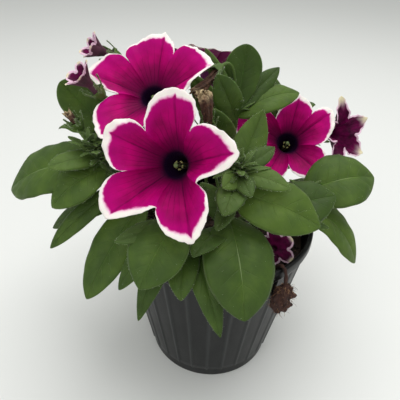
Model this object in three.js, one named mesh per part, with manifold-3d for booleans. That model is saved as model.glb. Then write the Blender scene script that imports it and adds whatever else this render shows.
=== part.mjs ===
// A petunia in its nursery pot: a ribbed plastic pot filled with soil, leafy stems that branch from the
// crown, funnel flowers with five lobes, and the flowers that have wilted.
// Millimetres, +Z up. The origin is the centre of the pot's flat underside.
import * as THREE from "three";
import { mergeVertices } from "three/addons/utils/BufferGeometryUtils.js";
import Module from "manifold-3d";

const wasm = await Module();
wasm.setup();

// Pot
const POT_HEIGHT = 105;
const RIM_RADIUS = 60;
const RIM_DEPTH = 7;
const WALL_TOP_RADIUS = 57.5;
const WALL_BASE_RADIUS = 42.5;
const FOOT_RADIUS = 41.5;
const FOOT_HEIGHT = 7;
const POT_WALL = 1.4;
const POT_FLOOR = 2;
const RIB_COUNT = 28;
const RIB_HEIGHT = 0.7;
const DRAIN_COUNT = 8;
const DRAIN_RADIUS = 4;
const DRAIN_CIRCLE = 31;
const DRAIN_SIDES = 8;

// Soil and what lies on it
const SOIL_LEVEL = 93;
const SOIL_BUMP = 1.5;
const SOIL_GAP = 0.4;
const SOIL_SIDES = 24;
const STEM_HOLE_DEPTH = 12;
const STEM_HOLE_CLEARANCE = 0.8;
const STEM_HOLE_SIDES = 10;
const SEAT = 0.3;

// Stems and stalks
const STEM_RADIUS = 2.3;
const STEM_TIP_RADIUS = 1.3;
const STALK_RADIUS = 0.9;
const CALYX_RADIUS = 3.4;
const CALYX_DEPTH = 4;
const SEPAL_LENGTH = 15;
const SEPAL_LEAN = 0.38;

// Clump of peat
const CLUMP_TURN = -52;
const CLUMP_MIDDLE = 87;
const CLUMP_HALF_HEIGHT = 11.5;
const CLUMP_HALF_WIDTH = 5.4;
const CLUMP_HALF_DEPTH = 5;
const CLUMP_OFF_WALL = 6.7;

// Leaves and petals
const BLADE_THICKNESS = 1;
const PETIOLE_RADIUS = 0.9;
const LOBE_EDGE = [1.5, 0.6];
const PETAL_THICKNESS = 0.8;
const GOLDEN_ANGLE = 137.5;

// Slivers narrower than this, left where blades cross, are smoothed away.
const MEND = 0.08;

const UP = [0, 0, 1];

const COLOURS = {
  pot: [0x2c2d2f, 0.45],
  soil: [0x2b2019, 0.95],
  peat: [0x4a2f24, 0.95],
  leaf: [0x4d6b35, 0.7],
  petal: [0xa8086c, 0.6],
  wilted: [0x3c1030, 0.7],
  dried: [0x4b3424, 0.85],
  stamen: [0x9ba067, 0.6],
};

const vec = (place) => new THREE.Vector3(...place);
const radians = THREE.MathUtils.degToRad;

// The unit vector that points to a compass angle and a height angle, both in degrees.
function heading(azimuth, elevation) {
  const a = radians(azimuth);
  const e = radians(elevation);
  return new THREE.Vector3(Math.cos(e) * Math.cos(a), Math.cos(e) * Math.sin(a), Math.sin(e));
}

// A flower's own frame: its axis out of the throat, and two directions across it.
function flowerFrame({ azimuth, elevation }) {
  const axis = heading(azimuth, elevation);
  const across = heading(azimuth + 90, 0);
  return { axis, across, rise: new THREE.Vector3().crossVectors(axis, across) };
}

// A solid from loose triangles, given as a flat list of corner points.
function solidOf(corners) {
  const loose = new THREE.BufferGeometry();
  const flat = corners.flatMap((corner) => corner.toArray());
  loose.setAttribute("position", new THREE.Float32BufferAttribute(flat, 3));
  const merged = mergeVertices(loose, 1e-3);
  const index = merged.index.array;
  const kept = [];
  for (let i = 0; i < index.length; i += 3) {
    const [a, b, c] = index.subarray(i, i + 3);
    if (a !== b && b !== c && c !== a) kept.push(a, b, c);
  }
  return new wasm.Manifold(
    new wasm.Mesh({
      numProp: 3,
      vertProperties: merged.attributes.position.array,
      triVerts: new Uint32Array(kept),
    }),
  );
}

// The two triangles of a four-sided patch, split along the diagonal from a to c.
const patch = (a, b, c, d) => [a, b, c, a, c, d];

// A body whose cross sections are rings of points, one row after another, with both ends shut.
function sleeve(rows) {
  const corners = [];
  const centre = (row) => row.reduce((sum, p) => sum.add(p), vec([0, 0, 0])).divideScalar(row.length);
  const whole = [rows[0].map(() => centre(rows[0])), ...rows, rows.at(-1).map(() => centre(rows.at(-1)))];
  for (let r = 0; r + 1 < whole.length; r++) {
    for (let c = 0; c < whole[r].length; c++) {
      const next = (c + 1) % whole[r].length;
      corners.push(...patch(whole[r][c], whole[r][next], whole[r + 1][next], whole[r + 1][c]));
    }
  }
  return solidOf(corners);
}

// A thin body between an upper and a lower grid of points. Both faces are split along the same diagonals.
// A ringed skin closes on itself along its rows.
function skin(upper, lower, ringed) {
  const corners = [];
  const rows = upper.length;
  const cols = upper[0].length;
  const spans = ringed ? cols : cols - 1;
  for (let r = 0; r + 1 < rows; r++) {
    for (let c = 0; c < spans; c++) {
      const n = (c + 1) % cols;
      corners.push(...patch(upper[r][c], upper[r][n], upper[r + 1][n], upper[r + 1][c]));
      corners.push(lower[r][c], lower[r + 1][n], lower[r][n], lower[r][c], lower[r + 1][c], lower[r + 1][n]);
    }
    if (!ringed) {
      const e = cols - 1;
      corners.push(...patch(lower[r][0], upper[r][0], upper[r + 1][0], lower[r + 1][0]));
      corners.push(...patch(upper[r][e], lower[r][e], lower[r + 1][e], upper[r + 1][e]));
    }
  }
  for (let c = 0; c < spans; c++) {
    const n = (c + 1) % cols;
    const e = rows - 1;
    corners.push(...patch(lower[0][c], lower[0][n], upper[0][n], upper[0][c]));
    corners.push(...patch(upper[e][c], upper[e][n], lower[e][n], lower[e][c]));
  }
  return solidOf(corners);
}

// Rings of points around a curve, whose radius is a function of the way along it, from 0 to 1.
function rings(curve, steps, sides, radius) {
  const { normals, binormals } = curve.computeFrenetFrames(steps);
  return Array.from({ length: steps + 1 }, (_, i) => {
    const middle = curve.getPointAt(i / steps);
    return Array.from({ length: sides }, (_, k) => {
      const turn = (2 * Math.PI * k) / sides;
      return middle
        .clone()
        .addScaledVector(normals[i], radius(i / steps) * Math.cos(turn))
        .addScaledVector(binormals[i], radius(i / steps) * Math.sin(turn));
    });
  });
}

// Half the width of a leaf, as a share of its greatest half width, at the share s of its length.
// It is the product of a power of s and a power of 1 - s that peaks at `widest`.
function leafOutline(s, widest, fullness) {
  const rising = (s / widest) ** widest;
  const falling = ((1 - s) / (1 - widest)) ** (1 - widest);
  return (rising * falling) ** fullness;
}

// A leaf: a blade along a midrib that runs from base to tip, lifted at its middle towards the side that
// `face` names. The midrib lies in a shallow groove, the margins curl down a little and wave.
function leaf({ base, tip, width, lift = 4, face = UP, widest = 0.48, fullness = 1.15 }, stations, cols) {
  const start = vec(base);
  const run = vec(tip).sub(start);
  const towards = run.clone().normalize();
  const normal = vec(face).addScaledVector(towards, -vec(face).dot(towards)).normalize();
  const side = new THREE.Vector3().crossVectors(towards, normal);
  const upper = [];
  const lower = [];
  for (const s of stations) {
    const spine = start
      .clone()
      .addScaledVector(run, s)
      .addScaledVector(normal, 4 * lift * s * (1 - s));
    const slope = (4 * lift * (1 - 2 * s)) / run.length();
    const upright = normal.clone().addScaledVector(towards, -slope).normalize();
    const least = s > 0 && s < 1 ? PETIOLE_RADIUS : 0;
    const half = Math.max((width / 2) * leafOutline(s, widest, fullness), least);
    const rows = [[], []];
    for (let c = 0; c < cols; c++) {
      const across = (2 * c) / (cols - 1) - 1;
      const groove = half * (0.3 * Math.abs(across) - 0.35 * across ** 2);
      const wave = 0.035 * width * across ** 2 * Math.sin(9 * s + 2 * across + start.x);
      const point = spine.clone().addScaledVector(side, across * half);
      const height = groove + wave * Math.min(1, 4 * s * (1 - s));
      rows[0].push(point.clone().addScaledVector(upright, height + BLADE_THICKNESS / 2));
      rows[1].push(point.clone().addScaledVector(upright, height - BLADE_THICKNESS / 2));
    }
    upper.push(rows[0]);
    lower.push(rows[1]);
  }
  return skin(upper, lower, false);
}

const LARGE_LEAF = [0, 0.14, 0.4, 0.7, 0.92, 1];
const SMALL_LEAF = [0, 0.3, 0.8, 1];
const TINY_LEAF = [0, 0.75, 1];

// The young leaves around a stem's tip, placed by the golden angle: long and low outside, short and upright
// inside. They start one above another on the last few millimetres of the stem.
function tuft(curve, { count = 9, length = 13, spin = 0, lean = [0, 0, 1] }) {
  return Array.from({ length: count }, (_, i) => {
    const inward = i / (count - 1);
    const aim = heading(spin + i * GOLDEN_ANGLE, 12 + 55 * inward);
    aim.addScaledVector(vec(lean), 0.35).normalize();
    const reach = length * (1 - 0.45 * inward);
    const base = curve.getPoint(0.93 + 0.07 * inward);
    const tip = base.clone().addScaledVector(aim, reach + 2);
    const blade = { base: base.toArray(), tip: tip.toArray(), width: 0.36 * reach, lift: 0.1 * reach };
    return leaf({ ...blade, fullness: 0.9 }, TINY_LEAF, 3);
  });
}

// A stem from its hole in the soil through the points of its route, with its leaves and its tuft.
function stem({ foot, route, leaves = [], small = [], tip }) {
  const root = [foot[0], foot[1], SOIL_LEVEL - STEM_HOLE_DEPTH + SEAT + SOIL_BUMP];
  const level = [foot[0], foot[1], SOIL_LEVEL + 2 * SOIL_BUMP];
  const curve = new THREE.CatmullRomCurve3([root, level, ...route].map(vec));
  const taper = (t) => THREE.MathUtils.lerp(STEM_RADIUS, STEM_TIP_RADIUS, t);
  const pieces = [sleeve(rings(curve, 9, 6, taper))];
  const at = (t) => curve.getPoint(t).toArray();
  for (const blade of leaves) pieces.push(leaf({ ...blade, base: at(blade.t) }, LARGE_LEAF, 5));
  for (const blade of small) pieces.push(leaf({ ...blade, base: at(blade.t) }, SMALL_LEAF, 3));
  pieces.push(...tuft(curve, tip));
  return { curve, pieces };
}

// The stalk of a flower, which leaves its stem upwards and turns into the flower's axis, and its calyx.
function flowerStalk(curve, flower) {
  const { axis } = flowerFrame(flower);
  const under = vec(flower.throat).addScaledVector(axis, -flower.tube - CALYX_DEPTH);
  const start = curve.getPoint(flower.t);
  const reach = start.distanceTo(under);
  const path = new THREE.CubicBezierCurve3(
    start,
    start.clone().addScaledVector(vec(UP), 0.4 * reach),
    under.clone().addScaledVector(axis, -0.4 * reach),
    under.clone().addScaledVector(axis, 0.5 * CALYX_DEPTH),
  );
  return [sleeve(rings(path, 6, 4, () => STALK_RADIUS)), calyx(flower)];
}

// The green calyx: a small solid cup under the tube, drawn out into five pointed sepals that stand around it.
function calyx(flower) {
  const { axis, across, rise } = flowerFrame(flower);
  const foot = vec(flower.throat).addScaledVector(axis, -flower.tube);
  const sepal = flower.sepal ?? SEPAL_LENGTH;
  const cup = [
    [[0, -SEAT], [0, -CALYX_DEPTH]],
    [[CALYX_RADIUS - 0.2, -SEAT], [0.5 * CALYX_RADIUS, 0.2 - CALYX_DEPTH]],
    [[CALYX_RADIUS, 1.5], [CALYX_RADIUS + BLADE_THICKNESS, 0.8]],
  ];
  const spread = CALYX_RADIUS + SEPAL_LEAN * sepal;
  const point = [[spread, sepal], [spread + PETAL_THICKNESS, sepal - 0.4]];
  const inner = [...cup, point].map(() => []);
  const outer = inner.map(() => []);
  for (let c = 0; c < 10; c++) {
    const turn = radians(36 * c + 20);
    const out = across.clone().multiplyScalar(Math.cos(turn)).addScaledVector(rise, Math.sin(turn));
    const line = c % 2 ? [...cup, cup[2]] : [...cup, point];
    line.forEach(([[r0, h0], [r1, h1]], r) => {
      inner[r].push(foot.clone().addScaledVector(out, r0).addScaledVector(axis, h0));
      outer[r].push(foot.clone().addScaledVector(out, r1).addScaledVector(axis, h1));
    });
  }
  return skin(outer, inner, true);
}

// The rim of a corolla: five lobes, each from the notch before it over its tip to the next notch.
// A lobe's row holds the angle, radius and rise of its tip, then those of the notch after it, and then two
// pairs for the edge before the tip and the one after it. The first number of a pair makes the tip blunter,
// and the second makes the lobe narrower.
function rimPoint(lobes, k, u) {
  const [tipAngle, tipRadius, tipRise] = lobes[k];
  const before = lobes[(k + 4) % 5].slice(3);
  const after = lobes[k].slice(3);
  const [angle, radius, rise] = u < 0 ? before : after;
  const [edgeBefore = LOBE_EDGE, edgeAfter = LOBE_EDGE] = lobes[k].slice(6);
  const [bluntness, narrowness] = u < 0 ? edgeBefore : edgeAfter;
  const gap = ((angle - tipAngle + 540) % 360) - 180;
  const away = Math.abs(u);
  const bulge = (1 - away ** bluntness) ** narrowness;
  return {
    angle: radians(tipAngle + gap * away),
    radius: radius + (tipRadius - radius) * bulge,
    rise: rise + (tipRise - rise) * bulge,
  };
}

// A corolla: a tube that is shut at its foot, and a limb that spreads from the mouth to the lobed rim.
// Each column of points is a meridian. The back face lies a petal's thickness behind the front face.
function corolla(flower) {
  const { axis, across, rise } = flowerFrame(flower);
  const throat = vec(flower.throat);
  const { tube, mouth = 6.5, spans = 6 } = flower;
  const tubeLine = [
    [2, -tube],
    [0.5 * mouth, -0.4 * tube],
    [mouth, 0],
  ];
  const limb = flower.form === "open" ? [0.4, 0.75, 1] : [0.5, 1];
  const front = [0, ...tubeLine, ...limb].map(() => []);
  const back = front.map(() => []);
  for (let c = 0; c < 5 * spans; c++) {
    const edge = rimPoint(flower.lobes, Math.floor(c / spans), (2 * (c % spans)) / spans - 1);
    const out = vec([0, 0, 0])
      .addScaledVector(across, Math.cos(edge.angle))
      .addScaledVector(rise, Math.sin(edge.angle));
    const place = (radius, height) =>
      throat.clone().addScaledVector(out, radius).addScaledVector(axis, height);
    const limbLine = limb.map((share) => [
      mouth + (edge.radius - mouth) * share,
      edge.rise * (1 - (1 - share) ** 1.5),
    ]);
    const line = [...tubeLine, ...limbLine];
    front[0].push(place(0, PETAL_THICKNESS - tube));
    back[0].push(place(0, -tube));
    line.forEach(([radius, height], i) => {
      const [r0, h0] = line[Math.max(i - 1, 0)];
      const [r1, h1] = line[Math.min(i + 1, line.length - 1)];
      const shift = PETAL_THICKNESS / Math.hypot(r1 - r0, h1 - h0);
      const floor = i === 0;
      front[i + 1].push(place(radius, floor ? height + PETAL_THICKNESS : height));
      back[i + 1].push(place(radius + shift * (h1 - h0), floor ? height : height - shift * (r1 - r0)));
    });
  }
  return skin(back, front, true);
}

// The style with its stigma, and around it the five anthers on their threads, which swell out of it as knobs
// at heights of their own in the mouth of the flower.
function pistil(flower) {
  const { axis, across, rise } = flowerFrame(flower);
  const foot = vec(flower.throat).addScaledVector(axis, -flower.tube + PETAL_THICKNESS + SEAT);
  const length = flower.tube - PETAL_THICKNESS - SEAT;
  const shape = [
    [0, 0.5, 0.5],
    [0.72, 0.7, 0.5],
    [0.82, 2.7, 0.8],
    [0.9, 2.7, 1],
    [0.95, 0.9, 0.8],
    [0.97, 1.3, 1.3],
    [1.03, 0.8, 0.8],
  ];
  const rows = shape.map(([share, knob, waist]) =>
    Array.from({ length: 10 }, (_, k) => {
      const turn = radians(36 * k);
      const radius = k % 2 ? waist : knob;
      const stagger = knob > 2 ? 0.7 * Math.sin(2 * k) : 0;
      return foot
        .clone()
        .addScaledVector(axis, share * length + stagger)
        .addScaledVector(across, radius * Math.cos(turn))
        .addScaledVector(rise, radius * Math.sin(turn));
    }),
  );
  return sleeve(rows);
}

// A flower that has dried: a shrunken pleated tube that widens from the calyx to its ragged end.
function driedFlower({ throat, tube, girth, azimuth, elevation }) {
  const { axis, across, rise } = flowerFrame({ azimuth, elevation });
  const foot = vec(throat).addScaledVector(axis, -tube);
  const rows = [0, 0.15, 0.45, 0.75, 1].map((share, i) =>
    Array.from({ length: 10 }, (_, k) => {
      const turn = radians(36 * k + 14 * i);
      const pleat = k % 2 ? 0.62 + 0.1 * Math.sin(5 * i + k) : 1;
      const radius = girth * (0.5 + 0.5 * share) * pleat;
      const ragged = i === 4 ? 1.6 * Math.sin(2.6 * k) : 0;
      return foot
        .clone()
        .addScaledVector(axis, share * tube + ragged)
        .addScaledVector(across, radius * Math.cos(turn) + 1.2 * Math.sin(3 * share))
        .addScaledVector(rise, radius * Math.sin(turn));
    }),
  );
  return sleeve(rows);
}

// The pot: outside up the ribbed wall, over the rolled rim, and down the smooth inside.
function pot() {
  const sides = 2 * RIB_COUNT;
  const wallTop = POT_HEIGHT - RIM_DEPTH;
  const bead = RIM_RADIUS - WALL_TOP_RADIUS;
  const profile = [
    [FOOT_RADIUS - 1, 0, 0],
    [FOOT_RADIUS, 1, 0],
    [FOOT_RADIUS, FOOT_HEIGHT, 0],
    [WALL_BASE_RADIUS, FOOT_HEIGHT + 1, 1],
    [WALL_TOP_RADIUS, wallTop - 1, 1],
    [WALL_TOP_RADIUS + 0.8 * bead, wallTop, 0],
    [RIM_RADIUS, POT_HEIGHT - 1, 0],
    [RIM_RADIUS - 1, POT_HEIGHT, 0],
    [RIM_RADIUS - 2.6, POT_HEIGHT, 0],
    [WALL_TOP_RADIUS - POT_WALL, wallTop - 2, 0],
    [FOOT_RADIUS - POT_WALL, POT_FLOOR, 0],
  ];
  const rows = profile.map(([radius, height, ribbed]) =>
    Array.from({ length: sides }, (_, k) => {
      const turn = (2 * Math.PI * k) / sides;
      const out = radius + (ribbed && k % 2 === 0 ? RIB_HEIGHT : 0);
      return vec([out * Math.cos(turn), out * Math.sin(turn), height]);
    }),
  );
  let solid = sleeve(rows);
  for (let k = 0; k < DRAIN_COUNT; k++) {
    const turn = (2 * Math.PI * (k + 0.5)) / DRAIN_COUNT;
    const [x, y] = [DRAIN_CIRCLE * Math.cos(turn), DRAIN_CIRCLE * Math.sin(turn)];
    solid = solid.subtract(cylinder(DRAIN_RADIUS, -1, POT_FLOOR + 1, DRAIN_SIDES, x, y));
  }
  return solid;
}

// An upright cylinder between two heights.
function cylinder(radius, bottom, top, sides, x, y) {
  const shape = new THREE.CylinderGeometry(radius, radius, top - bottom, sides);
  shape.rotateX(Math.PI / 2);
  shape.translate(x, y, (bottom + top) / 2);
  const place = shape.toNonIndexed().getAttribute("position");
  const corner = (_, i) => new THREE.Vector3().fromBufferAttribute(place, i);
  return solidOf(Array.from({ length: place.count }, corner));
}

// The height of the soil's crumbly top at a place.
function soilHeight(x, y) {
  const swell = Math.sin(0.31 * x + 0.2 * y) * Math.cos(0.27 * y - 0.13 * x);
  const ripple = 0.5 * Math.sin(0.71 * x - 0.53 * y);
  return SOIL_LEVEL + (SOIL_BUMP * (swell + ripple)) / 1.5;
}

// The inside radius of the pot's wall at a height.
function insideRadius(height) {
  const share = (height - POT_FLOOR) / (POT_HEIGHT - RIM_DEPTH - 2 - POT_FLOOR);
  return THREE.MathUtils.lerp(FOOT_RADIUS, WALL_TOP_RADIUS, share) - POT_WALL;
}

// The soil fills the pot, with a plain hole for each stem.
function soil(feet) {
  const floor = POT_FLOOR + SEAT;
  const circle = (radius, height) =>
    Array.from({ length: SOIL_SIDES }, (_, k) => {
      const turn = (2 * Math.PI * k) / SOIL_SIDES;
      const x = radius * Math.cos(turn);
      const y = radius * Math.sin(turn);
      return vec([x, y, height ?? soilHeight(x, y)]);
    });
  const low = insideRadius(floor) - SOIL_GAP;
  const high = insideRadius(SOIL_LEVEL - SOIL_BUMP) - SOIL_GAP;
  const rows = [circle(low, floor), circle(high, SOIL_LEVEL - SOIL_BUMP)];
  for (const share of [0.97, 0.8, 0.6, 0.4]) rows.push(circle(share * high));
  let solid = sleeve(rows);
  const bottom = SOIL_LEVEL - STEM_HOLE_DEPTH + SOIL_BUMP;
  const hole = STEM_RADIUS + STEM_HOLE_CLEARANCE;
  for (const [x, y] of feet) {
    solid = solid.subtract(cylinder(hole, bottom, POT_HEIGHT, STEM_HOLE_SIDES, x, y));
  }
  return solid;
}

// The clump of peat and roots that a root holds over the rim: a lumpy pod under a strand that bends over the
// rim's edge.
function peatClump() {
  const turn = radians(CLUMP_TURN);
  const out = new THREE.Vector3(Math.cos(turn), Math.sin(turn), 0);
  const along = new THREE.Vector3(-Math.sin(turn), Math.cos(turn), 0);
  const place = (radius, height, aside = 0) =>
    out.clone().multiplyScalar(radius).addScaledVector(along, aside).add(vec([0, 0, height]));
  const rows = [];
  const steps = 9;
  for (let i = 1; i < steps; i++) {
    const polar = (Math.PI * i) / steps;
    const height = CLUMP_MIDDLE - CLUMP_HALF_HEIGHT * Math.cos(polar);
    const wall = WALL_BASE_RADIUS + ((WALL_TOP_RADIUS - WALL_BASE_RADIUS) * (height - 8)) / 90 + RIB_HEIGHT;
    const row = [];
    for (let k = 0; k < 12; k++) {
      const angle = (2 * Math.PI * k) / 12;
      const lump = 1 + 0.16 * Math.sin(5 * angle + 3 * i) + 0.12 * Math.sin(2.3 * i + 2 * angle);
      const size = Math.sin(polar) * lump;
      const offAxis = wall + CLUMP_OFF_WALL + CLUMP_HALF_DEPTH * size * Math.cos(angle);
      row.push(place(offAxis, height, CLUMP_HALF_WIDTH * size * Math.sin(angle)));
    }
    rows.push(row);
  }
  const strand = new THREE.CatmullRomCurve3([
    place(63, 92),
    place(62.4, 103, 0.5),
    place(58.5, 106.6, 1),
    place(54, 103, 1),
    place(53, 96.5, 0),
  ]);
  return [sleeve(rows), sleeve(rings(strand, 10, 6, (t) => 1.3 - 0.4 * t))];
}

// The stems, each from its foot in the soil. A leaf starts at the share t of its stem and ends at its tip.
const STEMS = {
  stem_left: {
    foot: [-12, -3],
    route: [[-26, -8, 108], [-45, -14, 123], [-59, -15, 139], [-69, -12, 153]],
    leaves: [
      { t: 0.9, tip: [-121, -8, 121], width: 35, lift: 8, face: [0, -0.5, 1] },
      { t: 0.84, tip: [-86, -34, 128], width: 23, lift: 6, face: [-0.2, -0.8, 1] },
      { t: 0.72, tip: [-90, -38, 103], width: 12, lift: 5, face: [0.2, -0.6, 1] },
      { t: 0.62, tip: [-98, -14, 98], width: 15, lift: 7, face: [0, -0.5, 1] },
      { t: 0.56, tip: [-67, -56, 84], width: 25, lift: 6, face: [-0.4, -1, 0.5] },
      { t: 0.7, tip: [-96, 20, 110], width: 25, lift: 8 },
    ],
    small: [
      { t: 0.8, tip: [-88, 10, 143], width: 12, lift: 3 },
      { t: 0.92, tip: [-86, -30, 150], width: 13, lift: 3, face: [-0.2, -0.8, 1] },
    ],
    tip: { count: 12, length: 17, spin: 20, lean: [0, -0.3, 0.6] },
  },
  stem_back_left: {
    foot: [-8, 9],
    route: [[-19, 13, 108], [-36, 16, 128], [-54, 12, 144], [-66, 6, 155]],
    leaves: [
      { t: 0.93, tip: [-88, 10, 181], width: 23, lift: -3, face: [-0.1, -1, 0.6], widest: 0.6 },
      { t: 0.8, tip: [-104, 38, 140], width: 27, lift: 9 },
      { t: 0.66, tip: [-70, 64, 132], width: 26, lift: 9 },
      { t: 0.55, tip: [-88, 50, 104], width: 26, lift: 9 },
      { t: 0.42, tip: [-46, 74, 104], width: 27, lift: 9 },
    ],
    small: [
      { t: 0.85, tip: [-70, 28, 168], width: 12, lift: 2 },
    ],
    tip: { count: 7, length: 12, spin: 60, lean: [0.3, 0.3, 1] },
  },
  stem_front_left: {
    foot: [-8, -10],
    route: [[-13, -21, 105], [-17, -34, 120], [-19, -44, 133]],
    leaves: [
      { t: 0.95, tip: [-33, -74, 113], width: 29, lift: 5, face: [-0.1, -0.6, 1] },
      { t: 0.72, tip: [-47, -61, 98], width: 18, lift: 7 },
      { t: 0.7, tip: [-14, -72, 105], width: 18, lift: 5 },
      { t: 0.5, tip: [-35, -74, 91], width: 15, lift: 15 },
      { t: 0.55, tip: [6, -76, 85], width: 15, lift: 16, face: [-0.2, 0, 1] },
    ],
    small: [
      { t: 0.8, tip: [-47, -59, 128], width: 12, lift: 3, face: [0, -0.6, 1] },
    ],
    tip: { count: 5, length: 10, spin: 14, lean: [-0.4, 0.2, 0.6] },
  },
  stem_front: {
    foot: [3, -12],
    route: [[5, -22, 106], [7, -31, 124], [10, -29, 142], [11, -25, 153]],
    leaves: [
      { t: 0.62, tip: [17, -75, 97], width: 36, lift: 9, widest: 0.5 },
      { t: 0.78, tip: [53, -41, 130], width: 29, lift: 6, face: [0, -0.7, 1], widest: 0.44 },
      { t: 0.5, tip: [-9, -65, 127], width: 16, lift: 4, face: [-0.2, -0.4, 1] },
      { t: 0.93, tip: [22, -5, 176], width: 18, lift: -2, face: [0, -1, 0.5], widest: 0.38 },
    ],
    small: [
      { t: 0.72, tip: [1, -51, 132], width: 9, lift: 2, face: [0, -0.7, 1] },
      { t: 0.6, tip: [-8, -32, 147], width: 13, lift: 2, face: [0, -1, 0.6] },
      { t: 0.94, tip: [3, -41, 150], width: 11, lift: 2, face: [0, -0.9, 0.6] },
      { t: 0.92, tip: [17, -43, 147], width: 10, lift: 3, face: [0, -0.7, 0.8] },
      { t: 0.95, tip: [36, -37, 149], width: 12, lift: 3, face: [0, -0.6, 1] },
      { t: 0.86, tip: [4, -51, 141], width: 15, lift: 3, face: [0, -0.6, 1] },
      { t: 0.96, tip: [29, -13, 159], width: 10, lift: 2, face: [0, -0.8, 0.6] },
    ],
    tip: { count: 12, length: 15, spin: 0, lean: [0, -0.4, 0.5] },
  },
  stem_front_right: {
    foot: [10, -8],
    route: [[17, -15, 107], [24, -21, 115], [29, -26, 122]],
    leaves: [
      { t: 0.9, tip: [64, -19, 135], width: 28, lift: 7, face: [0, -0.6, 1] },
      { t: 0.7, tip: [63, -24, 117], width: 15, lift: 5 },
    ],
    small: [],
    tip: { count: 5, length: 9, spin: 40, lean: [0.5, 0.3, 0.3] },
  },
  stem_right: {
    foot: [13, 2],
    route: [[28, 3, 107], [43, 2, 117], [55, 0, 127]],
    leaves: [
      { t: 0.92, tip: [94, 12, 130], width: 34, lift: 8, face: [0, -0.7, 1] },
      { t: 0.8, tip: [87, -14, 84], width: 25, lift: 10, face: [0.8, -0.6, 1] },
      { t: 0.66, tip: [84, 34, 104], width: 25, lift: 8 },
    ],
    small: [],
    tip: { count: 6, length: 11, spin: 30, lean: [0.8, -0.3, 0] },
  },
  stem_back_right: {
    foot: [9, 10],
    route: [[14, 26, 106], [20, 48, 114], [30, 68, 124], [44, 78, 138]],
    leaves: [
      { t: 0.9, tip: [72, 108, 138], width: 26, lift: 9 },
      { t: 0.8, tip: [60, 104, 116], width: 27, lift: 9 },
      { t: 0.55, tip: [68, 72, 100], width: 24, lift: 8 },
      { t: 0.9, tip: [36, 92, 164], width: 18, lift: 3, face: [0, -1, 1] },
    ],
    small: [],
    tip: { count: 6, length: 12, spin: 0 },
  },
  stem_back: {
    foot: [0, 13],
    route: [[2, 22, 108], [6, 28, 132], [9, 26, 152], [10, 25, 166]],
    leaves: [
      { t: 0.97, tip: [13, 33, 199], width: 22, lift: -2, face: [0, -1, 0.4], widest: 0.6 },
      { t: 0.86, tip: [-3, 11, 188], width: 18, lift: 2, face: [0.2, -1, 0.6] },
      { t: 0.62, tip: [-8, 3, 173], width: 20, lift: 2, face: [0, -1, 0.4] },
      { t: 0.7, tip: [-18, 30, 182], width: 16, lift: 2, face: [0, -1, 0.5] },
      { t: 0.9, tip: [47, 40, 170], width: 20, lift: 6, face: [0, -0.5, 1] },
      { t: 0.97, tip: [34, 46, 183], width: 12, lift: 2, face: [0, -1, 0.6] },
      { t: 0.5, tip: [-4, 84, 108], width: 27, lift: 10 },
      { t: 0.6, tip: [-22, 66, 128], width: 24, lift: 8 },
    ],
    small: [
      { t: 0.9, tip: [-10, 24, 198], width: 10, lift: 2, face: [0, -1, 0.6] },
    ],
    tip: { count: 5, length: 11, spin: 15 },
  },
};

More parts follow.
